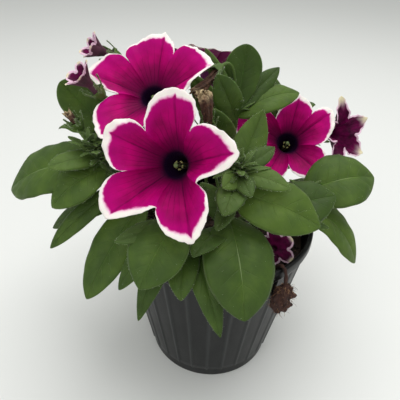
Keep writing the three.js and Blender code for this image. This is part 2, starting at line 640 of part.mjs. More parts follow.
// The flowers. A lobe's row holds the angle, radius and rise of its tip, then those of the notch after it.
const FLOWERS = {
  bloom_front: {
    form: "open", stem: "stem_front_left", t: 0.35, throat: [-20, -35, 158],
    azimuth: 246, elevation: 27, tube: 28,
    lobes: [
      [22, 38, 18, 62, 20, 14, [1.8, 2.5], [1, 0.55]],
      [88, 34, 18, 132, 18, 14, [3, 0.5], [2, 1.1]],
      [164, 32.5, 18, 203, 18.5, 14, [1.8, 0.7], [1.5, 0.45]],
      [236, 38.5, 18, 275, 19.5, 14, [2, 0.45], [1, 1.6]],
      [312, 38.5, 18, 348, 18.5, 14, [1, 0.6], [1, 0.5]],
    ],
  },
  bloom_upper_left: {
    form: "open", stem: "stem_back_left", t: 0.45, throat: [-37, 9, 175],
    azimuth: 256, elevation: 54, tube: 28,
    lobes: [
      [28, 36, 12, 71, 23, 10, [0.8, 2], [1.2, 0.4]],
      [90, 34, 12, 139, 20, 9, [0.6, 0.5], [0.5, 0.2]],
      [178, 36, 12, 203, 17, 9, [2, 0.4], [1.2, 1.2]],
      [245, 38, 12, 285, 19, 9, [1, 0.45], [1.5, 0.7]],
      [322, 35, 12, 354, 19, 9],
    ],
  },
  bloom_right: {
    form: "open", stem: "stem_back_right", t: 0.5, throat: [44, 36, 138],
    azimuth: 274, elevation: 45, tube: 26,
    lobes: [
      [34, 32.5, 10, 50, 19, 9, [1.4, 1], [2, 0.3]],
      [77, 30, 10, 123, 16, 8, [0.7, 0.3], [1, 1]],
      [154, 39, 10, 194, 17, 8, [1.5, 0.5], [2, 0.7]],
      [236, 33, 10, 264, 17, 8],
      [308, 31, 10, 345, 16.5, 8, [1.2, 0.8], [1.2, 0.55]],
    ],
  },
  bloom_back: {
    form: "open", stem: "stem_back", t: 0.7, throat: [-9, 64, 175],
    azimuth: 84, elevation: 71, tube: 26, spans: 4,
    lobes: [
      [10, 31, 11, 46, 20, 9],
      [82, 33, 11, 118, 19, 9],
      [154, 32, 11, 190, 20, 9],
      [226, 31, 11, 262, 21, 9],
      [298, 32, 11, 334, 20, 9],
    ],
  },
  bloom_rear_left: {
    form: "open", stem: "stem_back_left", t: 0.6, throat: [-50, 76, 150],
    azimuth: 122, elevation: 32, tube: 26, spans: 4,
    lobes: [
      [20, 33, 14, 56, 19, 11],
      [92, 32, 14, 128, 20, 11],
      [164, 34, 14, 200, 19, 11],
      [236, 33, 14, 272, 18, 11],
      [308, 33, 14, 344, 20, 11],
    ],
  },
  bloom_far_right: {
    form: "wilting", stem: "stem_back_right", t: 0.5, throat: [79, 62, 134],
    azimuth: 305, elevation: 25, tube: 20, mouth: 4.5, spans: 4, sepal: 11,
    lobes: [
      [18, 22, 13, 54, 11, 11, [1.2, 1], [1.2, 1]],
      [90, 24, 12, 126, 11, 11, [1.2, 1], [1.2, 1]],
      [162, 20, 12, 198, 10, 11, [1.2, 1], [1.2, 1]],
      [234, 24, 10, 270, 11, 10, [1.2, 1], [1.2, 1]],
      [312, 25, 9, 344, 11, 10, [1.2, 1], [1.2, 1]],
    ],
  },
  bloom_wilting_upper: {
    form: "wilting", stem: "stem_back_left", t: 0.7, throat: [-69, 26, 194],
    azimuth: 205, elevation: 24, tube: 9, mouth: 2.8, spans: 2, sepal: 7,
    lobes: [
      [10, 6.5, 7, 46, 4.5, 5],
      [82, 9, 6, 118, 4.5, 5],
      [154, 6, 7, 190, 4.5, 5],
      [226, 7, 9, 262, 4.5, 5],
      [298, 6.5, 8, 334, 4.5, 5],
    ],
  },
  bloom_wilting_lower: {
    form: "wilting", stem: "stem_back_left", t: 0.9, throat: [-70, -2, 186],
    azimuth: 208, elevation: 48, tube: 9, mouth: 3, spans: 2, sepal: 7,
    lobes: [
      [0, 8, 6, 36, 5, 5],
      [72, 9, 7, 108, 5, 5],
      [144, 8, 7, 180, 5, 5],
      [216, 8, 7, 252, 5, 5],
      [288, 8, 7, 324, 5, 5],
    ],
  },
  spent_flower_back: {
    form: "spent", stem: "stem_back", t: 0.75, throat: [-15, 8, 178], azimuth: 227, elevation: -28,
    tube: 20, girth: 3.4, sepal: 7,
  },
  spent_flower_front: {
    form: "spent", stem: "stem_front", t: 0.3, throat: [-9, -12, 186], azimuth: 233, elevation: 76,
    tube: 20, girth: 4, sepal: 7,
  },
  spent_flower_left: {
    form: "spent", stem: "stem_left", t: 0.9, throat: [-79, -10, 172], azimuth: 200, elevation: 60,
    tube: 8, girth: 2.4, sepal: 5,
  },
};

// The wilted corolla that has dropped onto the soil.
const FALLEN_FLOWER = {
  form: "wilting", throat: [36, -21, 98.5], azimuth: 300, elevation: 62, tube: 3, mouth: 4, spans: 4,
  lobes: [
    [5, 12, 3, 41, 8, 3],
    [77, 11, 4, 113, 7, 4],
    [149, 12, 3, 185, 8, 3],
    [221, 13, 1, 257, 8, 2],
    [293, 12, 2, 329, 8, 2],
  ],
};

function material(name) {
  const [color, roughness] = COLOURS[name];
  return new THREE.MeshStandardMaterial({ color, roughness, metalness: 0, name });
}

const potted = new THREE.Group();
potted.name = "potted_petunia";

// Adds a solid as a named mesh. Pieces given as a list are joined into one solid first.
function add(name, pieces, finish) {
  const joined = wasm.Manifold.union([pieces].flat()).simplify(MEND);
  const solid = joined.decompose().sort((a, b) => b.volume() - a.volume())[0];
  const { vertProperties, triVerts, numProp } = solid.getMesh();
  const geometry = new THREE.BufferGeometry();
  const places = new THREE.InterleavedBuffer(vertProperties, numProp);
  geometry.setAttribute("position", new THREE.InterleavedBufferAttribute(places, 3, 0));
  geometry.setIndex(new THREE.BufferAttribute(triVerts, 1));
  geometry.computeVertexNormals();
  const mesh = new THREE.Mesh(geometry, material(finish));
  mesh.name = name;
  potted.add(mesh);
}

add("pot", pot(), "pot");
add("soil", soil(Object.values(STEMS).map(({ foot }) => foot)), "soil");
add("peat_clump", peatClump(), "peat");
for (const [name, plan] of Object.entries(STEMS)) {
  const { curve, pieces } = stem(plan);
  for (const flower of Object.values(FLOWERS)) {
    if (flower.stem === name) pieces.push(...flowerStalk(curve, flower));
  }
  add(name, pieces, "leaf");
}
for (const [name, flower] of Object.entries(FLOWERS)) {
  if (flower.form === "spent") {
    add(name, driedFlower(flower), "dried");
    continue;
  }
  add(name, corolla(flower), flower.form === "open" ? "petal" : "wilted");
  if (flower.form === "open") add(name.replace("bloom", "pistil"), pistil(flower), "stamen");
}
add("fallen_flower", corolla(FALLEN_FLOWER), "wilted");

export default potted;
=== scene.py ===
import math
from collections import namedtuple
from functools import partial

import bpy
import numpy as np
from mathutils import Matrix, Vector


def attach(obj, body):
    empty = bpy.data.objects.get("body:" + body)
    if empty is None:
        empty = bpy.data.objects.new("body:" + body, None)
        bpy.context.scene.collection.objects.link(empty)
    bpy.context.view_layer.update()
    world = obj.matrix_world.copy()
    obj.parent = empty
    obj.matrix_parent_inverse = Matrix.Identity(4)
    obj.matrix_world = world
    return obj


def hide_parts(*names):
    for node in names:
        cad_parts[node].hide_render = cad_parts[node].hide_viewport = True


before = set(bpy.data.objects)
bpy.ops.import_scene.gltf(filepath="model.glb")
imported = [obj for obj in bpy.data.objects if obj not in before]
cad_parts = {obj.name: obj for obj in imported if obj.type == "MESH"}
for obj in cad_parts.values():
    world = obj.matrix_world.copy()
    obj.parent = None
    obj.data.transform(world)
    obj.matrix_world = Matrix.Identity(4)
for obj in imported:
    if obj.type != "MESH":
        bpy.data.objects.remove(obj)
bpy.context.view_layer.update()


# Camera
# It looks down on the plant from a little above it, as the photograph does, turned slightly to the left and
# leaning slightly to one side. Lengths here are metres.
def in_scene(name, data):
    """A new object that shows the data, put into the scene."""
    made = bpy.data.objects.new(name, data)
    bpy.context.scene.collection.objects.link(made)
    return made


CAMERA_PLACE = (0.0, -0.209, 0.257)
CAMERA_YAW = math.radians(-2.6)
CAMERA_PITCH = math.radians(34.2)
CAMERA_ROLL = math.radians(1.6)
camera = in_scene("camera", bpy.data.cameras.new("camera"))
camera.data.sensor_width = 36
camera.data.lens = 37.5
camera.data.clip_start = 0.01
camera.matrix_world = (
    Matrix.Translation(CAMERA_PLACE) @ Matrix.Rotation(-CAMERA_YAW, 4, "Z")
    @ Matrix.Rotation(math.pi / 2 - CAMERA_PITCH, 4, "X") @ Matrix.Rotation(CAMERA_ROLL, 4, "Z")
)
bpy.context.scene.camera = camera
bpy.context.scene.view_settings.view_transform = "Standard"


# Floor and light
# A plain pale table top, which is no part of the object, lit by a wide soft light from above and a little
# behind, and by the pale room.
FLOOR_HALF = 3.0
FLOOR_DROP = 0.0002
LIT_POINT = (0.0, 0.0, 0.12)


def add(tree, kind, inputs=None, **settings):
    """Adds a shader node, sets its options, and fills its inputs with values or with other nodes' outputs."""
    made = tree.nodes.new(kind)
    for key, value in settings.items():
        setattr(made, key, value)
    for key, value in (inputs or {}).items():
        if isinstance(value, bpy.types.NodeSocket):
            tree.links.new(value, made.inputs[key])
        else:
            made.inputs[key].default_value = value
    return made


def colour(red, green, blue):
    """A screen colour, 0 to 255 a channel, as the linear colour that shaders take."""
    share = np.array([red, green, blue]) / 255
    linear = np.where(share < 0.04045, share / 12.92, ((share + 0.055) / 1.055) ** 2.4)
    return (*linear.tolist(), 1.0)


def surface(name, **sockets):
    """A material with one Principled shader whose plain values are set by socket name."""
    made = bpy.data.materials.new(name)
    made.use_nodes = True
    shader = made.node_tree.nodes["Principled BSDF"]
    for key, value in sockets.items():
        shader.inputs[key.replace("_", " ").title().replace("Ior", "IOR")].default_value = value
    return made, made.node_tree, shader


corners = FLOOR_HALF * np.array([(-1, -1), (1, -1), (1, 1), (-1, 1)])
floor_mesh = bpy.data.meshes.new("floor")
floor_mesh.from_pydata([(x, y, -FLOOR_DROP) for x, y in corners], [], [(0, 1, 2, 3)])
floor = in_scene("floor", floor_mesh)
floor_mesh.materials.append(surface("pale_table", base_color=colour(226, 227, 224), roughness=0.6)[0])

world = bpy.data.worlds.new("pale_room")
bpy.context.scene.world = world
world.use_nodes = True
world.node_tree.nodes["Background"].inputs["Color"].default_value = colour(232, 234, 232)
world.node_tree.nodes["Background"].inputs["Strength"].default_value = 0.68


def soft_light(name, place, size, power):
    """A square light of that size in metres, turned from its place to face the plant."""
    made = in_scene(name, bpy.data.lights.new(name, "AREA"))
    made.data.size = size
    made.data.energy = power
    made.location = place
    made.rotation_mode = "QUATERNION"
    made.rotation_quaternion = (Vector(LIT_POINT) - Vector(place)).to_track_quat("-Z", "Y")


soft_light("window", (0.12, 0.22, 1.15), size=1.1, power=10)
soft_light("room", (-0.3, -0.85, 0.75), size=1.2, power=4.5)


# Nursery pot
# One thin piece of dark grey plastic, blown or pressed over a mould: a ribbed wall that widens upwards from
# a plain foot, a bead that stiffens the rim, and drainage holes in the base.
MM = 0.001  # Lengths are millimetres from here on.
POT_HEIGHT = 105
RIM_RADIUS = 60
RIM_DEPTH = 7
RIM_ROUND = 1.3
WALL_TOP_RADIUS = 57.5
WALL_BASE_RADIUS = 42.5
WALL_BOTTOM = 8
FOOT_RADIUS = 41.5
FOOT_HEIGHT = 7
POT_WALL = 1.4
POT_FLOOR = 2
RIB_COUNT = 28
RIB_HEIGHT = 0.7
RIB_SHARPNESS = 36
POT_COLUMNS = 16 * RIB_COUNT
DRAIN_COUNT = 8
DRAIN_RADIUS = 4
DRAIN_CIRCLE = 31
DRAIN_SIDES = 28
DRILL_OVERRUN = 3


def ring_faces(rows, cols):
    """The four-sided faces between neighbouring rows of points, where each row closes on itself."""
    row, col = np.meshgrid(np.arange(rows - 1), np.arange(cols), indexing="ij")
    here, after = row * cols + col, row * cols + (col + 1) % cols
    return np.stack([here, after, after + cols, here + cols], -1).reshape(-1, 4)


def sleeve(grid, **values):
    """A closed body from rings of points, given as rows x columns x 3. A point in the middle of the first
    ring and of the last one shuts it. Values are numbers for each point, on the same grid."""
    rows, cols, _ = grid.shape
    count = rows * cols
    here = np.arange(cols)
    after = (here + 1) % cols
    first = np.stack([np.full(cols, count), after, here], -1)
    last = np.stack([np.full(cols, count + 1), count - cols + here, count - cols + after], -1)
    floats = {}
    for key, value in values.items():
        value = np.broadcast_to(value, (rows, cols)).astype(float)
        floats[key] = np.concatenate([value.ravel(), [value[0].mean(), value[-1].mean()]])
    points = np.concatenate([grid.reshape(-1, 3), grid[:1].mean(1), grid[-1:].mean(1)])
    tris = np.concatenate([first, last])
    return {"points": points, "quads": ring_faces(rows, cols), "tris": tris, "floats": floats}


def joined(shapes):
    """Several shapes as one, their points and faces one after another. A value that one lacks is 0."""
    starts = np.cumsum([0] + [len(s["points"]) for s in shapes[:-1]])
    whole = {"points": np.concatenate([s["points"] for s in shapes]), "floats": {}}
    for kind in ("quads", "tris"):
        whole[kind] = np.concatenate([s[kind] + start for s, start in zip(shapes, starts)])
    for key in sorted({key for s in shapes for key in s["floats"]}):
        values = [s["floats"].get(key, np.zeros(len(s["points"]))) for s in shapes]
        whole["floats"][key] = np.concatenate(values)
    return whole


def mesh_of(name, shape, smooth=True):
    """A shape, whose lengths are millimetres, as a mesh. Its values become attributes of its points."""
    mesh = bpy.data.meshes.new(name)
    faces = [*shape["quads"].tolist(), *shape["tris"].tolist()]
    mesh.from_pydata(shape["points"] * MM, [], faces, shade_flat=not smooth)
    for key, value in shape["floats"].items():
        mesh.attributes.new(key, "FLOAT", "POINT").data.foreach_set("value", value.astype(np.float32))
    return mesh


def piece(name, shape, material, slot, *nodes):
    """Puts a shape of that material into the scene, where it stands for the nodes."""
    made = in_scene(name, mesh_of(name, shape))
    made.data.materials.append(material)
    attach(made, "root")
    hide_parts(*nodes)
    return made


def circle(steps):
    """Even turns once round, in radians."""
    return np.linspace(0, 2 * np.pi, steps, endpoint=False)


def pot_wall():
    """The pot as rings up the outside, over the rim and down the inside. A row of the profile is a radius, a
    height, and the share of a rib's height that stands out there. A rib is a high power of a cosine."""
    wall_top = POT_HEIGHT - RIM_DEPTH
    bead = RIM_RADIUS - WALL_TOP_RADIUS
    lean = (WALL_TOP_RADIUS - WALL_BASE_RADIUS) / (wall_top - 1 - WALL_BOTTOM)
    top, low = WALL_TOP_RADIUS - POT_WALL, FOOT_RADIUS - POT_WALL
    profile = [
        (FOOT_RADIUS - 1.2, 0, 0), (FOOT_RADIUS - 0.4, 0.2, 0), (FOOT_RADIUS, 0.9, 0),
        (FOOT_RADIUS + 0.1, FOOT_HEIGHT - 0.4, 0), (FOOT_RADIUS + 0.5, FOOT_HEIGHT + 0.3, 0.3),
        *[(WALL_BASE_RADIUS + lean * (height - WALL_BOTTOM), height, 1)
          for height in np.linspace(WALL_BOTTOM, wall_top - 1, 24)],
        (WALL_TOP_RADIUS + 0.3, wall_top - 0.5, 0.6), (WALL_TOP_RADIUS + 0.75 * bead, wall_top + 0.1, 0),
        (RIM_RADIUS - 0.3, wall_top + 0.9, 0), (RIM_RADIUS, wall_top + 2, 0),
        (RIM_RADIUS, POT_HEIGHT - RIM_ROUND, 0),
        *[(RIM_RADIUS - RIM_ROUND * (1 - math.cos(turn)), POT_HEIGHT - RIM_ROUND * (1 - math.sin(turn)), 0)
          for turn in np.radians([25, 50, 75])],
        (RIM_RADIUS - 2.0, POT_HEIGHT, 0), (RIM_RADIUS - 2.5, POT_HEIGHT - 0.3, 0),
        (RIM_RADIUS - 2.9, POT_HEIGHT - 1.4, 0),
        *[(top + (low - top) * share, wall_top - 2 + (POT_FLOOR + 3 - wall_top) * share, 0)
          for share in np.linspace(0, 1, 12)],
        (low - 1, POT_FLOOR, 0),
    ]
    radius, height, ribbed = np.array(profile).T[..., None]
    turn = circle(POT_COLUMNS)
    rib = ribbed * np.abs(np.cos(RIB_COUNT * turn / 2)) ** RIB_SHARPNESS
    radius = radius + RIB_HEIGHT * rib
    return sleeve(np.stack([radius * np.cos(turn), radius * np.sin(turn), height + 0 * turn], -1), rib=rib)


def drills():
    """One upright rod for each drainage hole, spaced evenly round a circle in the base."""
    turn = circle(DRAIN_SIDES)
    rods = []
    for way in circle(DRAIN_COUNT) + math.pi / DRAIN_COUNT:
        x = DRAIN_CIRCLE * math.cos(way) + DRAIN_RADIUS * np.cos(turn)
        y = DRAIN_CIRCLE * math.sin(way) + DRAIN_RADIUS * np.sin(turn)
        rods.append(sleeve(np.stack([
            np.stack([x, y, z + 0 * x], -1) for z in (-DRILL_OVERRUN, POT_FLOOR + DRILL_OVERRUN)
        ])))
    return joined(rods)


def attribute(tree, name):
    """The value of that name at each point of the piece."""
    return add(tree, "ShaderNodeAttribute", attribute_name=name).outputs["Fac"]


def compute(operation, *values):
    """One step of arithmetic on sockets and numbers, in the node tree of the first socket among them. Plus,
    minus and times are steps of their own."""
    tree = next(value.id_data for value in values if isinstance(value, bpy.types.NodeSocket))
    return add(tree, "ShaderNodeMath", dict(enumerate(values)), operation=operation).outputs[0]


plus, minus, times = [partial(compute, step) for step in ("ADD", "SUBTRACT", "MULTIPLY")]


def span(value, low, high, first=0.0, last=1.0, curve="SMOOTHSTEP"):
    """A value carried from one span to another, with soft ends unless the curve is linear, and held there."""
    inputs = {"Value": value, "From Min": low, "From Max": high, "To Min": first, "To Max": last}
    return add(value.id_data, "ShaderNodeMapRange", inputs, interpolation_type=curve).outputs["Result"]


def blend(share, first, second):
    """Two colours mixed by a share."""
    return add(share.id_data, "ShaderNodeMix", {0: share, 6: first, 7: second}, data_type="RGBA").outputs[2]


def ramp(value, *stops):
    """A smooth run of screen colours over a value. Each stop is the value's share and its colour."""
    made = add(value.id_data, "ShaderNodeValToRGB", {"Fac": value})
    elements = made.color_ramp.elements
    while len(elements) < len(stops):
        elements.new(0.5)
    for element, (place, *paint) in zip(elements, stops):
        element.position = place
        element.color = colour(*paint)
    return made.outputs["Color"]


def bump(height, distance, strength=1.0, under=None):
    """A normal that is bent by a height of at most the distance, in metres."""
    inputs = {"Height": height, "Distance": distance, "Strength": strength}
    if under:
        inputs["Normal"] = under
    return add(height.id_data, "ShaderNodeBump", inputs).outputs["Normal"]


def dress(shader, **sockets):
    """Feeds a shader's sockets, by name, with what varies over the surface."""
    for key, value in sockets.items():
        shader.id_data.links.new(value, shader.inputs[key.replace("_", " ").title()])


def effect(name, inputs, outputs):
    """A node group with named inputs, each with a first value, and named outputs that are numbers. Gives the
    group, what flows into it, and what flows out of it."""
    group = bpy.data.node_groups.new(name, "ShaderNodeTree")
    for key, value in inputs.items():
        kind = "NodeSocketFloat" if isinstance(value, float) else "NodeSocketVector"
        group.interface.new_socket(key, in_out="INPUT", socket_type=kind).default_value = value
    for key in outputs:
        group.interface.new_socket(key, in_out="OUTPUT", socket_type="NodeSocketFloat")
    return group, group.nodes.new("NodeGroupInput").outputs, group.nodes.new("NodeGroupOutput").inputs


fields = {"Scale": 100.0, "Detail": 3.0, "Roughness": 0.5, "Stretch": (1, 1, 1)}
grain, given, result = effect("grain", fields, ["Mask"])
spot = add(grain, "ShaderNodeTexCoord").outputs["Object"]
spot = add(grain, "ShaderNodeMapping", {"Vector": spot, "Scale": given["Stretch"]}).outputs["Vector"]
fields = {"Vector": spot, **{key: given[key] for key in ("Scale", "Detail", "Roughness")}}
grain.links.new(add(grain, "ShaderNodeTexNoise", fields).outputs["Fac"], result["Mask"])


def noise(tree, scale, detail=3.0, roughness=0.5, stretch=(1, 1, 1)):
    """The grain effect: smooth noise in the object's own space. Scale is in waves a metre, and a stretch of
    0.1 along an axis makes its waves ten times as long there."""
    fields = {"Scale": scale, "Detail": detail, "Roughness": roughness, "Stretch": stretch}
    return add(tree, "ShaderNodeGroup", fields, node_tree=grain).outputs["Mask"]


plastic, tree, shader = surface("pot_plastic", roughness=0.35, specular_ior_level=0.22)
scuffs_and_rib_highlight = noise(tree, 55, 6, 0.65, (1, 1, 0.25))
spot = add(tree, "ShaderNodeTexCoord").outputs["Object"]
height = add(tree, "ShaderNodeSeparateXYZ", {"Vector": spot}).outputs["Z"]
# Grey mottling, lighter towards the foot over the lowest 35 mm of the pot.
mottle_lighter_at_foot = times(noise(tree, 18, 4, 0.6), span(height, 0.0, 0.035, 0.75, 0.4, "LINEAR"))
moulded = ramp(mottle_lighter_at_foot, (0.1, 9, 10, 11), (0.55, 26, 28, 28))
# Rib crests go lighter grey where the scuff noise is high: partly wear, partly a painted highlight along the
# ribs.
dress(shader, base_color=blend(times(attribute(tree, "rib"), scuffs_and_rib_highlight), moulded, colour(50, 53, 53)),
      roughness=span(scuffs_and_rib_highlight, 0.3, 0.75, 0.28, 0.5, "LINEAR"),
      normal=bump(noise(tree, 900, 3), 0.00006, 0.5, bump(scuffs_and_rib_highlight, 0.00012, 0.4)))

pot = piece("nursery_pot", pot_wall(), plastic, "pot", "pot")
drill = in_scene("drill", mesh_of("drill", drills(), smooth=False))
cut = pot.modifiers.new("drainage", "BOOLEAN")
cut.object = drill
cut.operation = "DIFFERENCE"
cut.solver = "EXACT"
drilled = bpy.data.meshes.new_from_object(pot.evaluated_get(bpy.context.evaluated_depsgraph_get()))
pot.modifiers.clear()
pot.data = drilled
bpy.data.objects.remove(drill)


# Potting soil
# Dark crumbly peat that fills the pot to a finger's width under the rim. It is loose, so its top is a
# rough surface with crumbs lying on it.
SOIL_LEVEL = 93
SOIL_BUMP = 1.5
SOIL_GAP = 0.4
SOIL_COLUMNS = 260
SOIL_TOP_RINGS = 90
SEAT = 0.3
CRUMB_COUNT = 1500
CRUMB_SIDES = 5


def lattice(cell, seed):
    """A repeatable number from 0 to 1 for each whole-numbered cell: the fraction of a large sine."""
    value = np.sin(cell @ np.array([127.1, 311.7, 74.7]) + 19.3 * seed) * 43758.5453
    return value - np.floor(value)


def roughness(points, size, seed=0, octaves=3):
    """Smooth noise from about -1 to 1 over points x 3: random numbers at the corners of cubes of that size,
    blended across each cube, with finer layers at half the size and half the height."""
    total = np.zeros(points.shape[:-1])
    for octave in range(octaves):
        place = points / size * 2**octave
        cell = np.floor(place)
        share = place - cell
        share = share * share * (3 - 2 * share)
        value = 0
        for corner in np.ndindex(2, 2, 2):
            weight = np.prod(np.where(corner, share, 1 - share), axis=-1)
            value = value + weight * lattice(cell + corner, seed + octave)
        total += (2 * value - 1) / 2**octave
    return total


def crumbs(centres, sizes, seed):
    """Small lumps: four rings of five points round each centre, each point pushed in or out at random."""
    draw = np.random.default_rng(seed)
    count = len(centres)
    polar = np.array([0.5, 1.3, 2.1, 2.8])[:, None]
    turn = circle(CRUMB_SIDES) + draw.uniform(0, 6, (count, 1, 1))
    swell = draw.uniform(0.65, 1.15, (count, len(polar), CRUMB_SIDES)) * sizes[:, None, None]
    girth = swell * np.sin(polar)
    lumps = np.stack([girth * np.cos(turn), girth * np.sin(turn), -0.75 * swell * np.cos(polar)], -1)
    lumps += centres[:, None, None]
    return joined([sleeve(lump, tone=tone) for lump, tone in zip(lumps, draw.uniform(0, 1, count))])


def soil_height(x, y):
    """The CAD soil's gentle waves."""
    swell = np.sin(0.31 * x + 0.2 * y) * np.cos(0.27 * y - 0.13 * x)
    return SOIL_LEVEL + SOIL_BUMP * (swell + 0.5 * np.sin(0.71 * x - 0.53 * y)) / 1.5


def inside_radius(height):
    """The inside radius of the pot's wall at a height."""
    share = (height - POT_FLOOR) / (POT_HEIGHT - RIM_DEPTH - 2 - POT_FLOOR)
    return FOOT_RADIUS + (WALL_TOP_RADIUS - FOOT_RADIUS) * share - POT_WALL


def soil_body():
    """The soil as rings: up the inside of the wall, then inwards over the top, which is the CAD soil's waves
    with two sizes of crumb added by noise."""
    turn = circle(SOIL_COLUMNS)
    round_x, round_y = np.cos(turn), np.sin(turn)
    wall = np.linspace(POT_FLOOR + SEAT, SOIL_LEVEL - SOIL_BUMP, 8)
    radii = inside_radius(wall) - SOIL_GAP
    rows = [np.stack([r * round_x, r * round_y, h + 0 * turn], -1) for h, r in zip(wall, radii)]
    for share in np.linspace(0.985, 0.01, SOIL_TOP_RINGS) ** 0.8:
        x, y = share * radii[-1] * round_x, share * radii[-1] * round_y
        flat = np.stack([x, y, 0 * x], -1)
        crumb = 0.75 * roughness(flat, 5, 1) + 0.4 * np.abs(roughness(flat, 1.7, 2, 2))
        rows.append(np.stack([x, y, soil_height(x, y) + crumb], -1))
    return sleeve(np.stack(rows), tone=0.5)


earth, tree, shader = surface("potting_soil", roughness=0.95)
speckled = times(plus(noise(tree, 700, 5, 0.7), attribute(tree, "tone")), 0.5)
browns = ramp(speckled, (0.25, 20, 14, 11), (0.5, 46, 32, 24), (0.8, 92, 66, 48))
dress(shader, base_color=browns, normal=bump(noise(tree, 1500, 4, 0.7), 0.0005))
draw = np.random.default_rng(4)
far = (inside_radius(SOIL_LEVEL) - 3) * np.sqrt(draw.uniform(0, 1, CRUMB_COUNT))
turn = draw.uniform(0, 2 * np.pi, CRUMB_COUNT)
x, y = far * np.cos(turn), far * np.sin(turn)
crumb_size = 0.35 + 1.1 * draw.uniform(0, 1, CRUMB_COUNT) ** 3
crumb_places = np.stack([x, y, soil_height(x, y) + 0.5 + 0.4 * crumb_size], -1)
piece("potting_soil", joined([soil_body(), crumbs(crumb_places, crumb_size, 5)]), earth, "soil", "soil")


# Clump of peat and roots
# A lump of the fibrous peat in which the plant was raised hangs over the rim at the front right by a root
# that bends over the bead. Fine tan root ends stick out of it.
CLUMP_AZIMUTH = math.radians(-52)
CLUMP_MIDDLE = 87
CLUMP_HALF_HEIGHT = 11.5
CLUMP_OFF_WALL = 6.7
CLUMP_HALF_DEPTH = 5
CLUMP_HALF_WIDTH = 5.4
CLUMP_WALL_HEIGHT = 90
THICK_ROOT_ROUTE = [(63, 92, 0), (62.4, 103, 0.5), (58.5, 106.6, 1), (54, 103, 1), (53, 96.5, 0)]
THICK_ROOT_STEPS = 40
ROOT_COUNT = 300
ROOT_STEPS = 7
ROOT_RADIUS = 0.11
ROOT_TIP_RADIUS = 0.03
clump_out = np.array([math.cos(CLUMP_AZIMUTH), math.sin(CLUMP_AZIMUTH), 0])
clump_along = np.array([-math.sin(CLUMP_AZIMUTH), math.cos(CLUMP_AZIMUTH), 0])


def beside_rim(radius, height, aside):
    """Points by their distance from the pot's axis, their height, and how far they lie to one side."""
    radius, height, aside = np.broadcast_arrays(radius, height, aside)
    return np.stack([radius, aside, height], -1) @ [clump_out, clump_along, (0, 0, 1)]


def off_wall(height):
    """How far from the pot's axis the clump hangs at a height: clear of the leaning wall and its ribs."""
    lean = (WALL_TOP_RADIUS - WALL_BASE_RADIUS) / CLUMP_WALL_HEIGHT
    return WALL_BASE_RADIUS + lean * (height - WALL_BOTTOM) + RIB_HEIGHT + CLUMP_OFF_WALL


def unit(vectors):
    """The same directions with a length of one."""
    return vectors / np.linalg.norm(vectors, axis=-1, keepdims=True)


def around(across, other, turn):
    """Steps of one away from an axis: each turn's cosine one way across it, and its sine the other way."""
    return across * np.cos(turn)[..., None] + other * np.sin(turn)[..., None]


def rings(line, radius, sides, reference=None):
    """Rings of points around a line, square to it. They start square to the reference as well, which is the
    axis that the line runs along the least if none is given."""
    tangent = unit(np.gradient(line, axis=0))
    if reference is None:
        reference = np.eye(3)[np.abs(tangent).max(0).argmin()]
    across = unit(np.cross(tangent, reference))
    away = around(across[:, None], np.cross(tangent, across)[:, None], circle(sides))
    return line[:, None] + np.broadcast_to(radius, len(line))[:, None, None] * away


def spline(points, share, spacing=0.5):
    """Points along a smooth curve through a few given ones, by their share of the way, where each given
    point is as far along as the next. The curve is a Catmull-Rom one: a cubic between neighbours, whose
    slopes allow for the distances between them, raised to the power of the spacing."""
    points = np.array(points, float)
    ends = np.concatenate([[2 * points[0] - points[1]], points, [2 * points[-1] - points[-2]]])
    place = np.asarray(share, float) * (len(points) - 1)
    k = np.minimum(place.astype(int), len(points) - 2)
    w = (place - k)[..., None]
    p = [ends[k + j] for j in range(4)]
    gap = [np.linalg.norm(p[j + 1] - p[j], axis=-1)[..., None] ** spacing for j in range(3)]
    leave = (p[1] - p[0]) / gap[0] - (p[2] - p[0]) / (gap[0] + gap[1]) + (p[2] - p[1]) / gap[1]
    meet = (p[2] - p[1]) / gap[1] - (p[3] - p[1]) / (gap[1] + gap[2]) + (p[3] - p[2]) / gap[2]
    leave, meet = leave * gap[1], meet * gap[1]
    square = -3 * p[1] + 3 * p[2] - 2 * leave - meet
    cube = 2 * p[1] - 2 * p[2] + leave + meet
    return p[1] + leave * w + square * w**2 + cube * w**3


def clump_pod():
    """A lumpy pod: an upright ellipsoid whose rings stand off the pot's leaning wall, swollen by the CAD
    pod's waves and roughened by noise."""
    polar = np.linspace(0.06, np.pi - 0.06, 70)[:, None]
    turn = circle(90)[None]
    step = polar / np.pi * 9
    height = CLUMP_MIDDLE - CLUMP_HALF_HEIGHT * np.cos(polar) + 0 * turn
    lump = 1 + 0.16 * np.sin(5 * turn + 3 * step) + 0.12 * np.sin(2.3 * step + 2 * turn)
    fibre = 1 + 0.16 * roughness(np.stack([turn + 0 * polar, height / 9, 0 * height], -1), 0.3, 7, 4)
    size = np.sin(polar) * lump * fibre
    out = off_wall(height) + CLUMP_HALF_DEPTH * size * np.cos(turn)
    return sleeve(beside_rim(out, height, CLUMP_HALF_WIDTH * size * np.sin(turn)), tone=0.35)


def root_end(draw):
    """A fine root that starts on the pod at a random place, points away from it and down, and bends."""
    polar, turn = draw.uniform(0.5, 2.9), draw.uniform(0, 2 * np.pi)
    height = CLUMP_MIDDLE - CLUMP_HALF_HEIGHT * math.cos(polar)
    girth = math.sin(polar)
    foot = beside_rim(off_wall(height) + 4.6 * girth * math.cos(turn), height, 4.9 * girth * math.sin(turn))
    aim = around(clump_out, clump_along, turn) + np.array([0, 0, draw.uniform(-0.9, 0.3)])
    bend = draw.normal(0, 0.5, 3)
    reach = draw.uniform(1.0, 3.2)
    curl = [foot, foot + 0.5 * reach * aim, foot + reach * (0.9 * aim + 0.5 * bend)]
    line = spline(curl, np.linspace(0, 1, ROOT_STEPS), 0)
    radius = np.linspace(ROOT_RADIUS, ROOT_TIP_RADIUS, ROOT_STEPS)
    return sleeve(rings(line, radius, 4), tone=draw.uniform(0.3, 1.2))


